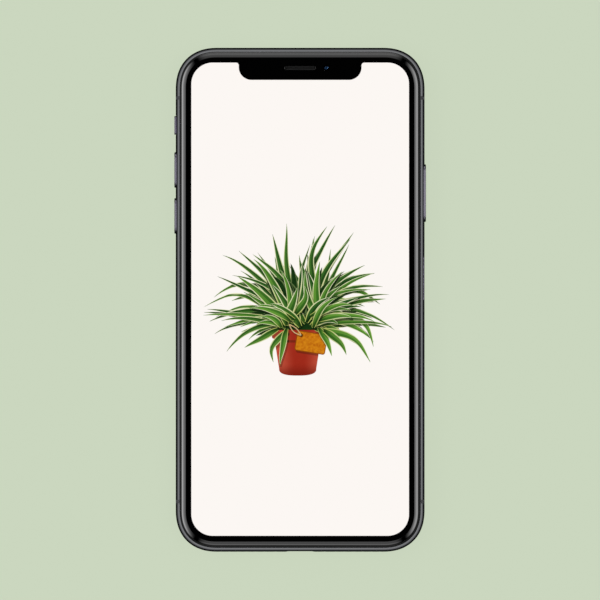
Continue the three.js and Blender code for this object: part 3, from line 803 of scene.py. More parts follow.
def polish(piece, side):
    """Gives the rolled outside of a rail its true normals, so that reflections run clean."""
    normals, points, facing = corner_arrays(piece.data)
    height = points[:, 2] - MIDDLE
    rise = np.sign(height) * np.clip((np.abs(height) - BELT / 2) / ROLL, 0, 1)
    out = np.sqrt(1 - rise ** 2) / EDGE_INSET
    exact = np.column_stack((side * out, 0 * out, rise / ROLL))
    exact /= np.linalg.norm(exact, axis=1)[:, None]
    depth = HALF_WIDTH - side * points[:, 0]
    near = np.abs(depth - skin(points[:, 2])) < SKIN_REACH
    outside = near & ((facing * exact).sum(1) > SKIN_FACING)
    normals[outside] = exact[outside]
    piece.data.normals_split_custom_set(normals.tolist())


def add_frame():
    profile = frame_profile()
    keys = [control_cut(on_left, *key_outlines(f"volume_{way}_button")) for way in ("up", "down")]
    tray_cut = hole(on_right, lambda grow: tray_outline(grow + RUN), WALL + PAST, FINE_FILLET)
    rails = (
        ("left", -1, [*keys, control_cut(on_left, *mute_outlines(MUTE_TRAVEL))]),
        ("right", 1, [control_cut(on_right, *key_outlines("side_button")), tray_cut]),
    )
    for name, side, cuts in rails:
        shell = sweep(profile, rail_path(side, -RAIL_END, RAIL_END))
        rail = add(f"rail_{name}", STEEL, "frame_steel", [shell], f"frame_{name}", cuts=cuts)
        polish(rail, side)
        for end, place in (("top", 1), ("bottom", -1)):
            ends = (place * (RAIL_END + ANTENNA_GAP), place * (CAP_START - ANTENNA_GAP))
            insert = sweep(profile, rail_path(side, *sorted(ends)))
            add(f"antenna_line_{end}_{name}", ANTENNA, "antenna_plastic", [insert],
                f"antenna_break_{end}_{name}")
    for end, place, cuts in (("top", 1, ()), ("bottom", -1, bottom_cuts())):
        cap = sweep(profile, cap_path(place))
        add(f"cap_{end}", STEEL, "frame_steel", [cap], f"frame_{end}", cuts=cuts)


# ---- Glasses and seals ----
SEAL_RECESS = 0.03
SEAL_INNER = 2.5
SEAL_GAP = 0.01
# Height where a glass's wall meets its roll.
RIM = MIDDLE + BELT / 2 + ROLL * math.sqrt(1 - (1 - GLASS_INSET / EDGE_INSET) ** 2)
UNDER_RIM, OVER_RIM = 0.02, 0.01  # how far the edge there is eased
SLIT = (8.8, 0.9)
SLIT_FILLET = 0.05
CAMERA_WINDOW_RADIUS = 1.0
CLEAR_GAP = 0.01  # between a clear window and the glass round it


def add_seals():
    """Lips of rubber that fill the step between frame and glass, a little under the roll."""
    roll = roll_points(FRAME_HIGH, RIM - SEAL_RECESS, 4)
    lip = [(inset + SEAL_RECESS, z) for inset, z in roll][::-1]
    wall = GLASS_INSET - SEAL_GAP
    ring = [(SEAL_INNER, GLASS_LOW), (wall, GLASS_LOW), (wall, lip[0][1]), *lip,
            (SEAL_INNER, FRAME_HIGH)]
    for name, profile in (("front_seal", ring), ("back_seal", flipped(ring))):
        shell = sweep(profile, body_outline, wrap=True)
        add(f"{name}_line", SEAL, "seal_plastic", [shell], name)


def screen_outline(grow=0.0):
    """The lit area's outline, counterclockwise from its upper left corner, with the notch."""
    x, y = SCREEN_WIDTH / 2 + grow, SCREEN_LENGTH / 2 + grow
    notch, floor = NOTCH_WIDTH / 2 - grow, SCREEN_LENGTH / 2 - NOTCH_DEPTH + grow
    outer, inner, flare = SCREEN_CORNER + grow, NOTCH_CORNER - grow, NOTCH_FLARE + grow
    points = []
    for u, v, radius, first, last in (
        (-x + outer, y - outer, outer, 90, 180),
        (-x + outer, -y + outer, outer, 180, 270),
        (x - outer, -y + outer, outer, 270, 360),
        (x - outer, y - outer, outer, 0, 90),
        (notch + flare, y - flare, flare, 90, 180),
        (notch - inner, floor + inner, inner, 360, 270),
        (-notch + inner, floor + inner, inner, 270, 180),
        (-notch - flare, y - flare, flare, 0, 90),
    ):
        angle = np.radians(np.linspace(first, last, 2 * ROUND_STEPS + 1))
        points.append(np.column_stack((u + radius * np.cos(angle), v + radius * np.sin(angle))))
    return (0, SCREEN_SHIFT) + np.vstack(points)


def glass(rings):
    return loft([level(body_outline(inset), z) for inset, z in rings])


def add_glasses():
    # From a glass's inner face round its rim to its outer face.
    rings = [(GLASS_INSET, GLASS_LOW), (GLASS_INSET, RIM - UNDER_RIM),
             *roll_points(RIM + OVER_RIM, THICKNESS, 16)]
    low, high = GLASS_LOW - PAST, THICKNESS + PAST
    slit = partial(pill, 0, SENSOR_Y, *SLIT)
    rim = [level(slit(out), THICKNESS - inward) for out, inward in rounding(SLIT_FILLET)]
    cuts = [
        prism(screen_outline(), low, high),
        loft([level(slit(), low), *rim, level(slit(SLIT_FILLET), high)]),
        prism(circle(CAMERA_X, SENSOR_Y, CAMERA_WINDOW_RADIUS, 48), low, high),
    ]
    front = add("glass_front", GLASS, "cover_glass", [glass(rings)], "cover_glass", cuts=cuts)
    flatten(front)
    coat(front, COATED_GLASS)

    x, y, _ = middle("camera_trim")
    opening = prism(pill(x, y, *(size("camera_trim") + 2 * RUN)[:2]), -PAST, FRAME_LOW)
    back = glass(flipped(rings))
    flatten(add("glass_back", BACK_GLASS, "back_glass", [back], "back_glass", cuts=[opening]))


# ---- Keys, mute switch and tray ----
def add_control(name, node, wall, outline, flange, half, fillet, stem=()):
    """A cap with the flange that holds it, on a body of its own name. stem gives the rings
    behind the flange."""
    inner = [*stem, (flange(0), FLANGE_INNER), (flange(0), FLANGE_OUTER),
             (outline(0), FLANGE_OUTER)]
    shell = crowned(wall, outline, lambda points: -PROUD, half, fillet, inner)
    add(name, KEY_STEEL, "frame_steel", [shell], node, body=name)


def add_controls():
    for key, wall in (("side", on_right), ("volume_up", on_left), ("volume_down", on_left)):
        node = f"{key}_button"
        _, y, z = middle(node)
        plunger = pill(y, z, 2 * PLUNGER_RADIUS, 2 * PLUNGER_RADIUS)
        stem = [(plunger, PLUNGER_TIP), (plunger, FLANGE_INNER)]
        add_control(f"{key}_key", node, wall, *key_outlines(node), KEY_HEIGHT / 2, KEY_FILLET,
                    stem)
    add_control("mute_slider", "mute_switch", on_left, *mute_outlines(), MUTE[1] / 2, MUTE_FILLET)
    add_tray_cap()
    add_tray_sheet()


def add_tray_cap():
    cap = crowned(on_right, tray_outline, lambda points: skin(points[:, 1]), TRAY_CAP[1] / 2,
                  TRAY_FILLET, [(tray_outline(0), TRAY_DEPTH)])
    place, radius = PIN_HOLE
    pin = hole(on_right, lambda grow: circle(TRAY_Y + place, MIDDLE, radius + grow, 24),
               TRAY_DEPTH - PIN_FLOOR, FINE_FILLET)
    add("sim_tray_cap", STEEL, "frame_steel", [cap], "sim_tray", body="tray", cuts=[pin])


TRAY_SHEET = (13.6, 1.4)  # width and thickness
TRAY_EASE = 0.12
TRAY_CORNER = 0.6
CARD_CUT = 1.4  # the card's one cut corner
CARD_LEDGE = 1.0  # what the card rests on all round
CONTACT_GRID = (2, 4)
CONTACT = (2.1, 1.5, 0.04)  # length, width, thickness
CONTACT_STEP = (3 * CONTACT[0], CONTACT[1] + 0.3)  # from each contact to the next


def add_tray_sheet():
    """The frame that slides in behind the cap, with the card in its pocket."""
    start, end = box("sim_tray")[0][0], HALF_WIDTH - TRAY_DEPTH + RUN
    width, half, ease = TRAY_SHEET[0], TRAY_SHEET[1] / 2, TRAY_EASE
    rings = []
    for height, inset in ((-half, ease), (ease - half, 0), (half - ease, 0), (half, ease)):
        plan = rounded_rect((start + end) / 2, TRAY_Y, end - start - 2 * inset,
                            width - 2 * inset, TRAY_CORNER, 4)
        rings.append(level(plan, MIDDLE + height))
    (left, under, low), (right, over, high) = box("sim_card")

    def card_plan(grow):
        x0, x1, y0, y1 = left - grow, right + grow, under - grow, over + grow
        return np.array([(x0, y0), (x1, y0), (x1, y1), (x0 + CARD_CUT, y1), (x0, y1 - CARD_CUT)])
    cuts = [prism(card_plan(RUN), low, THICKNESS), prism(card_plan(-CARD_LEDGE), 0, THICKNESS)]
    add("sim_tray_sheet", PRESSED, "inner_steel", [loft(rings)], body="tray", cuts=cuts)
    card = prism(card_plan(0), low, high)
    add("sim_card_blank", CARD_PLASTIC, "card_plastic", [card], "sim_card", body="tray")
    x, y, _ = middle("sim_card")
    half = np.array(CONTACT) / 2
    pads = []
    for row, column in np.ndindex(CONTACT_GRID):
        u = x + (row - (CONTACT_GRID[0] - 1) / 2) * CONTACT_STEP[0]
        v = y + (column - (CONTACT_GRID[1] - 1) / 2) * CONTACT_STEP[1]
        pads += [brick((u, v, face) - half, (u, v, face) + half) for face in (low, high)]
    add("sim_card_contacts", GOLD, "copper", pads, body="tray")


# ---- Front camera and earpiece ----
BARREL = (1.45, 0.55)  # outer and inner radius
BAFFLE_STEPS = (5, 0.18, 0.1)  # how many, and how far each goes in and down
FRONT_LENS = (0.68, 1.1)  # radius and curvature
LENS_SUNK = 0.05
LENS_BARREL = 0.2  # height of the barrel under a lens face


def dome(x, y, base, radius, curve, up=1, flat=0.04, steps=8, sides=40):
    """A lens face: a ball cap of a radius and a curvature on a short barrel, with a share of
    its middle level."""
    reach = math.asin(radius / curve)
    crest = curve * (1 - math.cos(reach))
    profile = [(radius, base - up * LENS_BARREL)]
    for angle in np.linspace(reach, reach * flat, steps):
        height = base + up * (crest - curve * (1 - math.cos(angle)))
        profile.append((curve * math.sin(angle), height))
    return turned(x, y, profile, sides, wrap=False)


def add_front_camera():
    low, high = (corner[2] for corner in box("front_camera"))
    window = circle(CAMERA_X, SENSOR_Y, CAMERA_WINDOW_RADIUS - CLEAR_GAP, 48)
    add("front_camera_window", CLEAR, "lens_glass", [prism(window, GLASS_LOW, THICKNESS)])
    outer, inner = BARREL
    count, inwards, down = BAFFLE_STEPS
    steps = [(outer - inwards * i, high - down * i) for i in range(count)]
    baffle = [(r, z) for (r, top), (_, under) in zip(steps, steps[1:]) for z in (top, under)]
    profile = [(inner, low), (outer, low), *baffle, (inner, steps[-1][1])]
    add("front_camera_barrel", BAFFLE, "lens_glass", [turned(CAMERA_X, SENSOR_Y, profile)],
        "front_camera")
    lens = dome(CAMERA_X, SENSOR_Y, steps[-1][1] - LENS_SUNK, *FRONT_LENS, flat=0.5)
    add("front_camera_lens", BLUE_LENS, "lens_glass", [lens])


def wire(place, start, end, radius, depth):
    """A thin round bar between two points of a wall."""
    start, end = np.array(start, float), np.array(end, float)
    run = (end - start) / np.linalg.norm(end - start)
    across, up = circle(0, 0, radius, 6).T
    across = across[:, None] * (-run[1], run[0])
    return loft([place(*(point + across).T, depth + up) for point in (start, end)])


WIRE_PITCH = 0.2
WIRE_RADIUS, FINE_WIRE = 0.045, 0.03
WIRE_GAP = 0.05  # from the face of a mesh to the middle of its first wires
UNDER_GLASS = 0.02
PLATE_DEPTH = 0.3


def grille(place, width, height, depth, radius=WIRE_RADIUS):
    """Two layers of crossing wires that fill a slot with round ends, in front of a plate."""
    end = height / 2
    straight = width / 2 - end
    plate = pill(0, 0, width, height)
    shells = [tunnel(place, (plate, depth + PLATE_DEPTH), (plate, depth + 4 * radius))]
    for u in np.arange(WIRE_PITCH / 2, width / 2, WIRE_PITCH):
        half = math.sqrt(end ** 2 - max(0, u - straight) ** 2)
        shells += [wire(place, (side * u, -half), (side * u, half), radius, depth + 2 * radius)
                   for side in (-1, 1)]
    for v in np.arange(WIRE_PITCH / 2, end, WIRE_PITCH):
        half = straight + math.sqrt(end ** 2 - v ** 2)
        shells += [wire(place, (-half, side * v), (half, side * v), radius, depth)
                   for side in (-1, 1)]
    return shells


def add_grilles():
    """The meshes over the earpiece, the loudspeaker and the microphone."""
    def on_top(u, v, depth):
        return np.column_stack((u, SENSOR_Y + v, GLASS_LOW - UNDER_GLASS - depth))
    width, height, _ = size("earpiece_mesh")
    shells = grille(on_top, width, height, WIRE_GAP, FINE_WIRE)
    add("earpiece_grille", WIRE, "fine_mesh", shells, "earpiece_mesh")
    for node in ("speaker_mesh", "bottom_microphone"):
        width, _, height = size(node)
        x = middle(node)[0]

        def behind(u, v, deep):
            return on_bottom(x + u, MIDDLE + v, deep)
        shells = grille(behind, width, height, HALF_LENGTH + box(node)[0][1] + WIRE_GAP)
        add(node.replace("mesh", "grille"), WIRE, "fine_mesh", shells, node)


# ---- Screws and charging socket ----
SCREW_SHANK = 0.45
STAR = (0.38, 0.09, 0.35)  # middle radius, height of its lobes, depth


def add_screws():
    radius, lobe, deep = STAR
    star_radii = radius + lobe * np.cos(6 * np.linspace(0, 2 * math.pi, 60, endpoint=False))
    across, inwards = SCREW_EASE
    for name, x in (("screw_left", -SCREW_X), ("screw_right", SCREW_X)):
        face, end = (HALF_LENGTH + corner[1] for corner in box(name))
        shank, rim, edge = (circle(x, MIDDLE, r)
                            for r in (SCREW_SHANK, SCREW_RADIUS, SCREW_RADIUS - across))
        star = circle(x, MIDDLE, star_radii, len(star_radii))
        neck = face + SCREW_HEAD
        shell = tunnel(on_bottom, (shank, end), (shank, neck), (rim, neck), (rim, face + inwards),
                       (edge, face))
        recess = tunnel(on_bottom, (star, face + deep), (star, face - PAST))
        add(f"bottom_{name}", KEY_STEEL, "frame_steel", [shell], name, cuts=[recess])


SHELL = (10.4, 3.4, 1.2)  # width, height, corner
SHELL_LIP = 0.12
CAVITY = (8.4, 2.6)
CAVITY_DEPTH = 9.4
TONGUE = (6.7, 0.7, 0.2)  # width, thickness, corner
TONGUE_DEPTH = 4.0
TONGUE_TIP = (0.3, 0.2)  # how much smaller the tip is, and over what length
TONGUE_ROOT = 0.5  # how far it runs on past the cavity's floor
STRIPS = 12
STRIP = (0.5, 0.13, 0.03)  # pitch, half width, half thickness
STRIP_ENDS = (0.6, -1)  # from the tip of the tongue, and from the cavity's floor


def add_socket():
    mouth, end = (HALF_LENGTH + corner[1] for corner in box("charge_socket"))

    def outer(inset):
        width, height, corner = SHELL
        return rounded_rect(0, MIDDLE, width - 2 * inset, height - 2 * inset, corner - inset)
    cavity = partial(pill, 0, MIDDLE, *CAVITY)
    rim = mouth + SHELL_LIP
    shell = tunnel(on_bottom, (outer(0), end), (outer(0), rim), (outer(SHELL_LIP), mouth),
                   (cavity(SHELL_LIP), mouth), (cavity(), rim), (cavity(), CAVITY_DEPTH))
    add("socket_shell", PRESSED, "inner_steel", [shell], "charge_socket")
    width, thickness, corner = TONGUE
    smaller, run = TONGUE_TIP
    full, tip = (rounded_rect(0, MIDDLE, width - less, thickness - less, corner)
                 for less in (0, smaller))
    tongue = tunnel(on_bottom, (full, CAVITY_DEPTH + TONGUE_ROOT), (full, TONGUE_DEPTH + run),
                    (tip, TONGUE_DEPTH))
    add("socket_tongue", BLACK, "seal_plastic", [tongue])
    pitch, half_width, half_thickness = STRIP
    start, stop = (depth + off - HALF_LENGTH
                   for depth, off in zip((TONGUE_DEPTH, CAVITY_DEPTH), STRIP_ENDS))
    strips = []
    for i in range(STRIPS):
        x = (i - (STRIPS - 1) / 2) * pitch
        for z in (MIDDLE - thickness / 2, MIDDLE + thickness / 2):
            strips.append(brick((x - half_width, start, z - half_thickness),
                                (x + half_width, stop, z + half_thickness)))
    add("socket_contacts", GOLD, "copper", strips)


# ---- Rear cameras ----
TRIM_WALL = 0.6
TRIM_LIP = 0.1
REAR_CAMERAS = (  # node, barrel radius, lens radius, coating
    ("rear_camera_wide", 4.0, 2.1, BLUE_LENS),
    ("rear_camera_tele", 3.6, 1.7, VIOLET_LENS),
)
HOUSING_BASE = 0.4  # how far inside the frame's back
HOUSING_CORNER = 0.5
WELL = (0.25, 1.6)  # how much narrower than the barrel, and depth
BARREL_RIM = 0.55
BARREL_EASE = 0.05
BARREL_STEPS = (4, 0.16, 0.1)  # how many, how deep each is and how wide its ledge
BARREL_NECK = (0.9, 0.3)  # how far it is sunk into the well, and how much narrower it is there
LENS_BASE = 0.7  # how deep in the well a lens sits
LENS_EASE = 0.05  # how far a lens reaches under the barrel round it
LENS_CURVE = 1.25  # curvature, in radii
WINDOW_GAP = 0.05
OPENING_RIM = 0.5  # how much smaller a window's clear opening is than the barrel behind it
LAMP_OPENING = 1.35
LAMP_RINGS = (12, 0.06)  # how many, and how far every second one lies in


def add_rear_cameras():
    x, y, _ = middle("camera_trim")
    width, length, top = size("camera_trim")

    def plan(inset):
        return pill(x, y, width, length, -inset)
    lip, wall = TRIM_LIP, TRIM_WALL
    trim = [(0, top), (0, lip), (lip / 3, lip / 3), (lip, 0), (wall - lip, 0), (wall, lip),
            (wall, top)]
    add("camera_trim_ring", STEEL, "frame_steel", [sweep(trim, plan, wrap=True)], "camera_trim")

    low, high = (corner[2] for corner in box("camera_window"))
    openings = [(middle(node)[1], radius - OPENING_RIM) for node, radius, _, _ in REAR_CAMERAS]
    openings.append((y, LAMP_OPENING))
    cuts = [prism(circle(x, v, radius, 64), low - PAST, high + PAST) for v, radius in openings]
    plugs = [prism(circle(x, v, radius - CLEAR_GAP, 64), low, high) for v, radius in openings]
    window = prism(plan(wall + WINDOW_GAP), low, high)
    add("camera_window_glass", BACK_GLASS, "lens_glass", [window], "camera_window", cuts=cuts)
    add("camera_window_clear", CLEAR, "lens_glass", plugs)

    for row in REAR_CAMERAS:
        add_rear_camera(x, *row)
    low, high = (corner[2] for corner in box("flash_lamp"))
    count, inwards = LAMP_RINGS
    radii = np.linspace(0.02, size("flash_lamp")[0] / 2, count)
    face = [(radius, low + inwards * (i % 2)) for i, radius in enumerate(radii)]
    lamp = turned(x, y, [*face, (radii[-1], high)], 40, wrap=False)
    add("flash_diffuser", DIFFUSER, "flash_lens", [lamp], "flash_lamp")


def add_rear_camera(x, node, radius, lens, coating):
    """A housing with a stepped barrel sunk into it and a coated lens at the bottom of that."""
    (_, y, _), (width, length, _) = middle(node), size(node)
    low, high = (corner[2] for corner in box(node))
    base = FRAME_LOW + HOUSING_BASE
    body = prism(rounded_rect(x, y, width, length, HOUSING_CORNER, 4), base, high)
    well = prism(circle(x, y, radius - WELL[0], 64), base - PAST, base + WELL[1])
    add(f"{node}_housing", BLACK, "seal_plastic", [body], node, cuts=[well])
    mouth, ease = radius - BARREL_RIM, BARREL_EASE
    rings = [(radius, base), (radius, low + ease), (radius - ease, low), (mouth, low)]
    count, down, ledge = BARREL_STEPS
    for i in range(1, count + 1):
        inner = mouth - (mouth - lens) * i / count
        rings += [(inner + ledge, low + down * i), (inner, low + down * i)]
    end, neck = base + BARREL_NECK[0], radius - BARREL_NECK[1]
    rings += [(lens, end), (neck, end), (neck, base)]
    add(f"{node}_barrel", BLACK, "seal_plastic", [turned(x, y, rings, 72)])
    face = dome(x, y, base + LENS_BASE, lens + LENS_EASE, lens * LENS_CURVE, -1, sides=64)
    add(f"{node}_lens", coating, "lens_glass", [face])


# ---- The picture on the screen: a potted spider plant, laid out by a seeded rule ----
# The pot, by its middle, its rim and its foot.
POT_X = -0.7
POT_RIM = -8.6
POT_FOOT = -21.6
POT_HALF = 7.6
FOOT_HALF = 5.3
FOOT_SAG = 2.0  # height of the foot's curve
FOOT_EASE = 0.74  # power that squares the curve at its ends
COLLAR = 2.3  # height of the pot's collar
COLLAR_STEP = 0.45  # how far the wall below it steps in
COLLAR_TAPER = 0.3
COLLAR_SAG = 0.8  # height of the curve that it ends in
COLLAR_DROP = 0.6  # how far that curve dips below the collar's own height
COLLAR_LAP = 0.5  # how far the wall goes up behind it
COLLAR_SHADE = (0.1, -0.7)
SOIL = (1.2, 5.6)  # how much narrower than the pot, and height

TAG_SIZE = (8.8, 5.8)
TAG_CORNER = 0.7
TAG_EDGE = (0.5, 0.5)  # how much smaller its face is, and the corner of that
TAG_CENTRE = (3.1, -12.2)
TAG_TILT = math.radians(-9)
TAG_SHADE = (0.35, -0.6)
EYE_INSET = 1.3
EYELET, EYE = 0.62, 0.34  # radii
HOOK = (POT_X - 2.4, POT_RIM + 1.6)  # where the strings are tied
STRING_SAGS = (-0.5, 0.35)
STRING, STRING_SHADE = 0.14, 0.2  # half widths

CROWN_X = 0.4
LEAF_STEPS = 22
LEAF_ROOT = 0.45  # share of its width that a leaf has at its base
LEAF_WIDEST = 0.38  # share of its length where it is widest
LEAF_TAPER = (2.1, 0.9)  # powers that draw it to a point
LEAF_TIP = 0.015
BEND_POWER = 1.3  # power that moves the bend of a leaf outwards
SWAY = 7.0  # degrees that a leaf snakes off its bend
FOLD = (20, 50)  # degrees that a folded leaf turns by
FOLD_PLACE = (0.45, 0.3)  # where along it the fold starts, and for how long it goes on
FOLDED = 0.2  # share of the leaves that are folded
SHADOW_GROW = 0.28
SHADOW_SHIFT = (0.22, -0.42)


def lit_look(name, paint):
    """A finish that gives off the colour that paint works out, behind a clear coated face that
    hardly mirrors."""
    shader = Shader(name)
    return shader.set(
        Base_Color=(0, 0, 0, 1),
        Roughness=0.04,
        IOR=1.1,
        Emission_Color=paint(shader),
        Emission_Strength=1.0,
    ).look


def shaded(shader, color):
    """Darkens a colour where other leaves cast their shade."""
    share = shader.ramp(shader.attribute("shade"), 0, 0.88, 0, 2)
    return shader.mix(share, color, srgb(14, 30, 12))


def leaf_paint(shader):
    across, along, tone = (shader.attribute(name) for name in ("across", "along", "tone"))
    out = shader.math("ABSOLUTE", across)
    deep = shader.mix(tone, srgb(10, 38, 12), srgb(42, 102, 28))
    bright = shader.mix(tone, srgb(44, 94, 36), srgb(112, 164, 60))
    veins = shader.math("SINE", shader.math("MULTIPLY", across, 19.0))
    veins = shader.ramp(veins, 0.0, 0.35, -1, 1)
    fold = shader.fade(across, -0.15, 0.15, 0, 0.55)
    tip = shader.ramp(along, 0.0, 0.4, 0.3, 1)
    green = shader.mix(shader.math("ADD", shader.math("ADD", veins, fold), tip), deep, bright)
    green = shader.mix(shader.fade(along, 0, 0.3, 0.75, 0), green, srgb(10, 26, 10))
    beyond = shader.math("SUBTRACT", out, shader.ramp(tone, 0.66, 0.78))
    margin = shader.fade(beyond, -0.05, 0.07)
    pale = shader.mix(shader.ramp(along, 0, 1, 0.1, 0.8), srgb(176, 186, 96), srgb(232, 234, 196))
    return shaded(shader, shader.mix(margin, green, pale))


def core_paint(shader):
    """Leaves deep in the plant's own shade, the soil and the hole in the tag."""
    green = shader.mix(shader.noise(900), srgb(8, 26, 8), srgb(30, 66, 24))
    out = shader.math("ABSOLUTE", shader.attribute("across"))
    return shaded(shader, shader.mix(shader.fade(out, 0.6, 0.75), green, srgb(90, 110, 64)))


def pot_paint(shader):
    out = shader.math("ABSOLUTE", shader.math("SUBTRACT", shader.attribute("across"), 0.1))
    clay = shader.mix(shader.fade(out, 0.2, 1), srgb(160, 44, 28), srgb(196, 84, 62))
    clay = shader.mix(shader.ramp(shader.noise(700, 5), 0, 0.35), clay, srgb(138, 34, 20))
    low = shader.fade(shader.attribute("along"), 0, 0.3, 0.75, 0)
    return shaded(shader, shader.mix(low, clay, srgb(112, 26, 16)))


def tag_paint(shader):
    mottle = shader.ramp(shader.noise(1500, 5), 0, 1, 0.35, 0.7)
    return shaded(shader, shader.mix(mottle, srgb(212, 134, 24), srgb(182, 98, 14)))


def mottled(scale, first, second):
    """A paint that wanders between two tones."""
    return lambda shader: shader.mix(shader.noise(scale), srgb(*first), srgb(*second))


PAINTS = {
    "ground": lambda shader: srgb(252, 247, 243),
    "core": core_paint,
    "leaf": leaf_paint,
    "pot": pot_paint,
    "tag": tag_paint,
    "tag_edge": mottled(900, (150, 78, 12), (128, 62, 10)),
    "string": mottled(2600, (222, 196, 150), (176, 140, 92)),
}


def plain(points):
    """The field of a shape whose paint is the same all over."""
    return np.zeros((2, len(points)))


class Drawn:
    """A flat shape of the picture. field gives (across, along) at points of it, for its paint."""

    def __init__(self, paint, outline, field=plain, tone=0.5, shadow=None, spine=()):
        self.paint = paint
        self.outline = np.asarray(outline, float)
        self.field = field
        self.tone = tone
        self.shadow = shadow
        self.spine = spine  # a line within the outline that the field turns round


def ribbon(line, half):
    """The outline of a band round a line of points, with its half width at each."""
    run = np.gradient(line, axis=0)
    run /= np.linalg.norm(run, axis=1)[:, None]
    side = np.column_stack((-run[:, 1], run[:, 0])) * half[:, None]
    return np.vstack((line + side, (line - side)[::-1]))


def ribbon_field(line, half):
    """(across, along) of points by the nearest place on a line."""
    def field(points):
        starts, steps = line[:-1], np.diff(line, axis=0)
        reach = points[:, None] - starts
        share = np.clip((reach * steps).sum(2) / (steps ** 2).sum(1), 0, 1)
        gaps = np.linalg.norm(reach - share[..., None] * steps, axis=2)
        nearest = gaps.argmin(1)
        rows = np.arange(len(points))
        place = nearest + share[rows, nearest]
        turn = np.cross(steps[nearest], points - starts[nearest])
        width = np.maximum(np.interp(place, np.arange(len(line)), half), 2 * LEAF_TIP)
        return np.sign(turn) * gaps[rows, nearest] / width, place / (len(line) - 1)
    return field


def leaf(base, lean, length, bend, sway, fold, width, tone, paint):
    """A blade that leaves its base leaning from upright by an angle and bends on outwards, to a
    fine tip. It snakes by its sway, and a fold turns its outer half down."""
    share = np.linspace(0, 1, LEAF_STEPS)
    start, run = FOLD_PLACE
    turned_down = fold * np.clip((share - start) / run, 0, 1)
    snaking = sway * np.sin(math.tau * share)
    angle = np.radians(lean + bend * share ** BEND_POWER + snaking + turned_down)
    steps = np.column_stack((np.sin(angle), np.cos(angle)))[:-1] * (length / (LEAF_STEPS - 1))
    line = np.array(base) + np.vstack(((0, 0), np.cumsum(steps, axis=0)))
    swell = np.sin(np.minimum(1, share / LEAF_WIDEST) * math.pi / 2)
    taper = (1 - share ** LEAF_TAPER[0]) ** LEAF_TAPER[1]
    half = np.maximum(width / 2 * (LEAF_ROOT + (1 - LEAF_ROOT) * swell) * taper, LEAF_TIP)
    shadow = ribbon(line[::3] + SHADOW_SHIFT, half[::3] + SHADOW_GROW) if paint == "leaf" else None
    return Drawn(paint, ribbon(line, half), ribbon_field(line, half), tone, shadow, line[1:-1])


def leaves(draw, count, lean, length, bend, width, tone, spread, height, paint="leaf"):
    """Blades on both sides in turn, spread evenly through a range of leans with a seeded stray,
    in mixed order."""
    made = []
    for i in range(count):
        side = (-1, 1)[i % 2]
        share = (i + draw.uniform(0.0, 1.0)) / count
        made.append(leaf(
            (CROWN_X + side * draw.uniform(*spread), draw.uniform(*height)),
            side * (lean[0] + (lean[1] - lean[0]) * share),
            draw.uniform(*length),
            side * draw.uniform(*bend),
            draw.uniform(-SWAY, SWAY),
            side * draw.uniform(*FOLD) * (draw.random() < FOLDED),
            draw.uniform(*width),
            draw.uniform(*tone),
            paint,
        ))
    draw.shuffle(made)
    return made


def pot_shapes():
    def wall(half_top, top, half_foot, foot, sag):
        """A tapering wall whose lower end is curved, as it is seen a little from above."""
        turn = np.linspace(math.pi, math.tau, 33)
        u, v = np.cos(turn), np.sin(turn)
        curve = np.column_stack((
            half_foot * np.sign(u) * np.abs(u) ** FOOT_EASE,
            foot + sag * (1 - np.abs(v) ** FOOT_EASE),
        ))
        return np.vstack(((half_top, top), (-half_top, top), curve)) + (POT_X, 0)

    def field(points):
        along = (points[:, 1] - POT_FOOT) / (POT_RIM - POT_FOOT)
        half = FOOT_HALF + (POT_HALF - FOOT_HALF) * along
        return (points[:, 0] - POT_X) / half, along
    low = POT_RIM - COLLAR
    collar = wall(POT_HALF, POT_RIM, POT_HALF - COLLAR_TAPER, low - COLLAR_DROP, COLLAR_SAG)
    share = COLLAR / (POT_RIM - POT_FOOT)
    under = POT_HALF - COLLAR_STEP - (POT_HALF - FOOT_HALF) * share
    body = wall(under, low + COLLAR_LAP, FOOT_HALF, POT_FOOT, FOOT_SAG)
    return [Drawn("pot", body, field), Drawn("pot", collar, field, shadow=collar + COLLAR_SHADE)]


def tag_shapes():
    """The bare tag with its eyelet, and the two strings that it hangs from."""
    width, height = TAG_SIZE
    cos, sin = math.cos(TAG_TILT), math.sin(TAG_TILT)

    def placed(points):
        return points @ np.array(((cos, sin), (-sin, cos))) + TAG_CENTRE
    smaller, corner = TAG_EDGE
    card = placed(rounded_rect(0, 0, width, height, TAG_CORNER))
    face = placed(rounded_rect(0, 0, width - smaller, height - smaller, corner))
    eye = (-width / 2 + EYE_INSET, height / 2 - EYE_INSET)
    knot = placed(np.array([eye]))[0]
    share = np.linspace(0, 1, 12)[:, None]
    strings = []
    for sag in STRING_SAGS:
        line = knot + (np.array(HOOK) - knot) * share + np.sin(share * math.pi) * (sag, sag)
        thin, wide = (np.full(len(line), half) for half in (STRING, STRING_SHADE))
        shadow = ribbon(line + SHADOW_SHIFT, wide)
        strings.append(Drawn("string", ribbon(line, thin), shadow=shadow))
    return [
        Drawn("tag_edge", card, shadow=card + TAG_SHADE),
        Drawn("tag", face),
        Drawn("tag_edge", placed(circle(*eye, EYELET, 20))),
        Drawn("core", placed(circle(*eye, EYE, 16))),
        *strings,
    ]


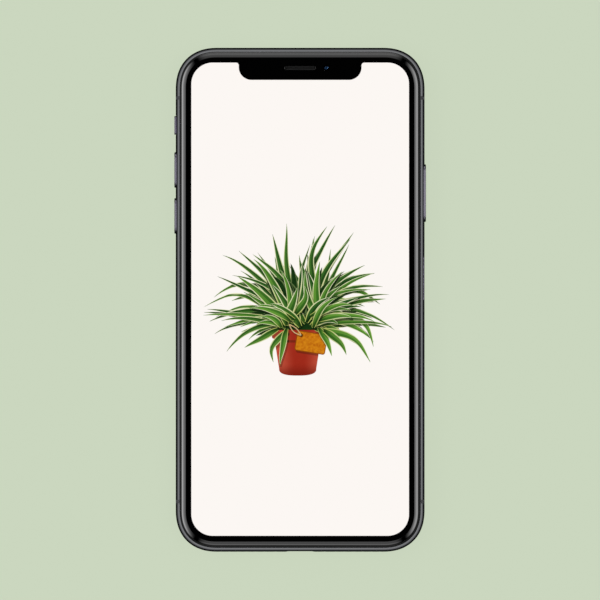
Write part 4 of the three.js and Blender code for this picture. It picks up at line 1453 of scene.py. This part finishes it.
def plant_shapes():
    """The picture from back to front. A tuft's numbers are its count and the ranges of its
    leaves' lean, length, bend, width, tone, place off the crown and height."""
    tuft = partial(leaves, random.Random(20))
    narrower, soil = SOIL
    return [
        *tuft(22, (-30, 40), (15, 28), (-14, 22), (1.5, 2.7), (0.0, 0.4), (0, 5), (-6, -1)),
        *tuft(30, (28, 84), (16, 27), (6, 48), (1.4, 2.5), (0.0, 0.6), (0, 5), (-7, -2)),
        *tuft(26, (-10, 62), (7, 12), (-20, 40), (1.6, 2.8), (0.0, 0.3), (0, 5), (-6, -1), "core"),
        *tuft(26, (45, 105), (7, 12), (0, 50), (1.6, 2.8), (0.0, 0.3), (0, 6), (-8, -3), "core"),
        Drawn("core", pill(POT_X, POT_RIM, 2 * POT_HALF - narrower, soil)),
        *pot_shapes(),
        *tuft(22, (-36, 66), (9, 19), (-10, 60), (1.7, 2.9), (0.0, 0.8), (0, 5), (-8, -3)),
        *tuft(18, (60, 108), (12, 23), (8, 55), (1.4, 2.5), (0.2, 0.9), (2, 6.5), (-8.5, -4)),
        *tuft(8, (10, 70), (7, 12), (50, 90), (1.8, 2.7), (0.5, 1.0), (2, 6), (-8, -4)),
        *tag_shapes(),
        *tuft(5, (105, 165), (8, 12), (5, 25), (1.9, 2.7), (0.5, 1.0), (3, 7), (-9, -7.8)),
    ]


def counterclockwise(loop):
    following = np.roll(loop, -1, axis=0)
    area = (loop[:, 0] * following[:, 1] - loop[:, 1] * following[:, 0]).sum()
    return loop if area > 0 else loop[::-1]


def mosaic(outline, shapes):
    """Splits a flat area among overlapping shapes, the last on top, into triangles.

    Gives the points, the triangles, the top shape of each and how many shadows fall on it.
    """
    casting = [i for i, shape in enumerate(shapes) if shape.shadow is not None]
    loops = [outline, *[shape.outline for shape in shapes], *[shapes[i].shadow for i in casting]]
    points, faces, edges = [], [], []
    for loop in map(counterclockwise, loops):
        faces.append(list(range(len(points), len(points) + len(loop))))
        points += [Vector(point) for point in loop]
    for shape in shapes:
        edges += [(len(points) + i, len(points) + i + 1) for i in range(len(shape.spine) - 1)]
        points += [Vector(point) for point in shape.spine]
    flat, _, triangles, _, _, origins = delaunay_2d_cdt(points, edges, faces, 1, 1e-5, True)
    kept, tops, shades = [], [], []
    for triangle, origin in zip(triangles, origins):
        if 0 not in origin:
            continue
        top = max(i for i in origin if i <= len(shapes)) - 1
        above = sum(casting[i - len(shapes) - 1] > top for i in origin if i > len(shapes))
        kept.append(triangle)
        tops.append(top)
        shades.append(min(above, 2) if top >= 0 else 0)
    return np.array([tuple(point) for point in flat]), kept, tops, shades


DISPLAY_GAP = 0.01  # between the display and the glass round it


def add_display():
    """The lit panel, flush in the glass, whose face is one mosaic of the picture's shapes."""
    shapes = plant_shapes()
    points, triangles, tops, shades = mosaic(screen_outline(-DISPLAY_GAP), shapes)
    looks = [lit_look(f"lit_{name}", paint) for name, paint in PAINTS.items()]
    panel = new_object("display_picture", level(points, THICKNESS), triangles, *looks)
    corners = points[np.array(triangles).ravel()]
    top_of_corner = np.repeat(tops, 3)
    values = {name: np.zeros(len(corners)) for name in ("across", "along", "tone")}
    for i, shape in enumerate(shapes):
        rows = np.flatnonzero(top_of_corner == i)
        if len(rows):
            values["across"][rows], values["along"][rows] = shape.field(corners[rows])
            values["tone"][rows] = shape.tone
    values["shade"] = np.repeat(shades, 3)
    for name, numbers in values.items():
        set_attribute(panel.data, name, "CORNER", numbers)
    paints = list(PAINTS)
    slots = [paints.index(shapes[top].paint) if top >= 0 else 0 for top in tops]
    panel.data.polygons.foreach_set("material_index", slots)
    close_slab(panel.data, box("display_panel")[0][2])
    fit(panel, "display", "display_panel")


def close_slab(mesh, low):
    """Gives an open level face its walls and its underside."""
    shape = bmesh.new()
    shape.from_mesh(mesh)
    rim = [edge for edge in shape.edges if edge.is_boundary]
    made = bmesh.ops.extrude_edge_only(shape, edges=rim)["geom"]
    for point in (item for item in made if isinstance(item, bmesh.types.BMVert)):
        point.co.z = low / MM
    edges = [item for item in made if isinstance(item, bmesh.types.BMEdge)]
    bmesh.ops.edgeloop_fill(shape, edges=[edge for edge in edges if edge.is_boundary])
    write_back(shape, mesh)


def dress_solids():
    """Gives the solids that still show the finish of their slot."""
    for row in frame["record"]["subparts"]:
        node = frame["nodes"][row["node"]]
        if not node.hide_render:
            node.data.materials.clear()
            node.data.materials.append(SOLID_LOOKS[row["material_slot"]])


add_camera()
add_world()
add_floor()
# The ring of painted shade that the frame's rolled edge mirrors.
add_painted_shade_ring()
add_frame()
add_seals()
add_glasses()
add_controls()
add_front_camera()
add_grilles()
add_screws()
add_socket()
add_rear_cameras()
add_display()
dress_solids()

bpy.context.view_layer.update()
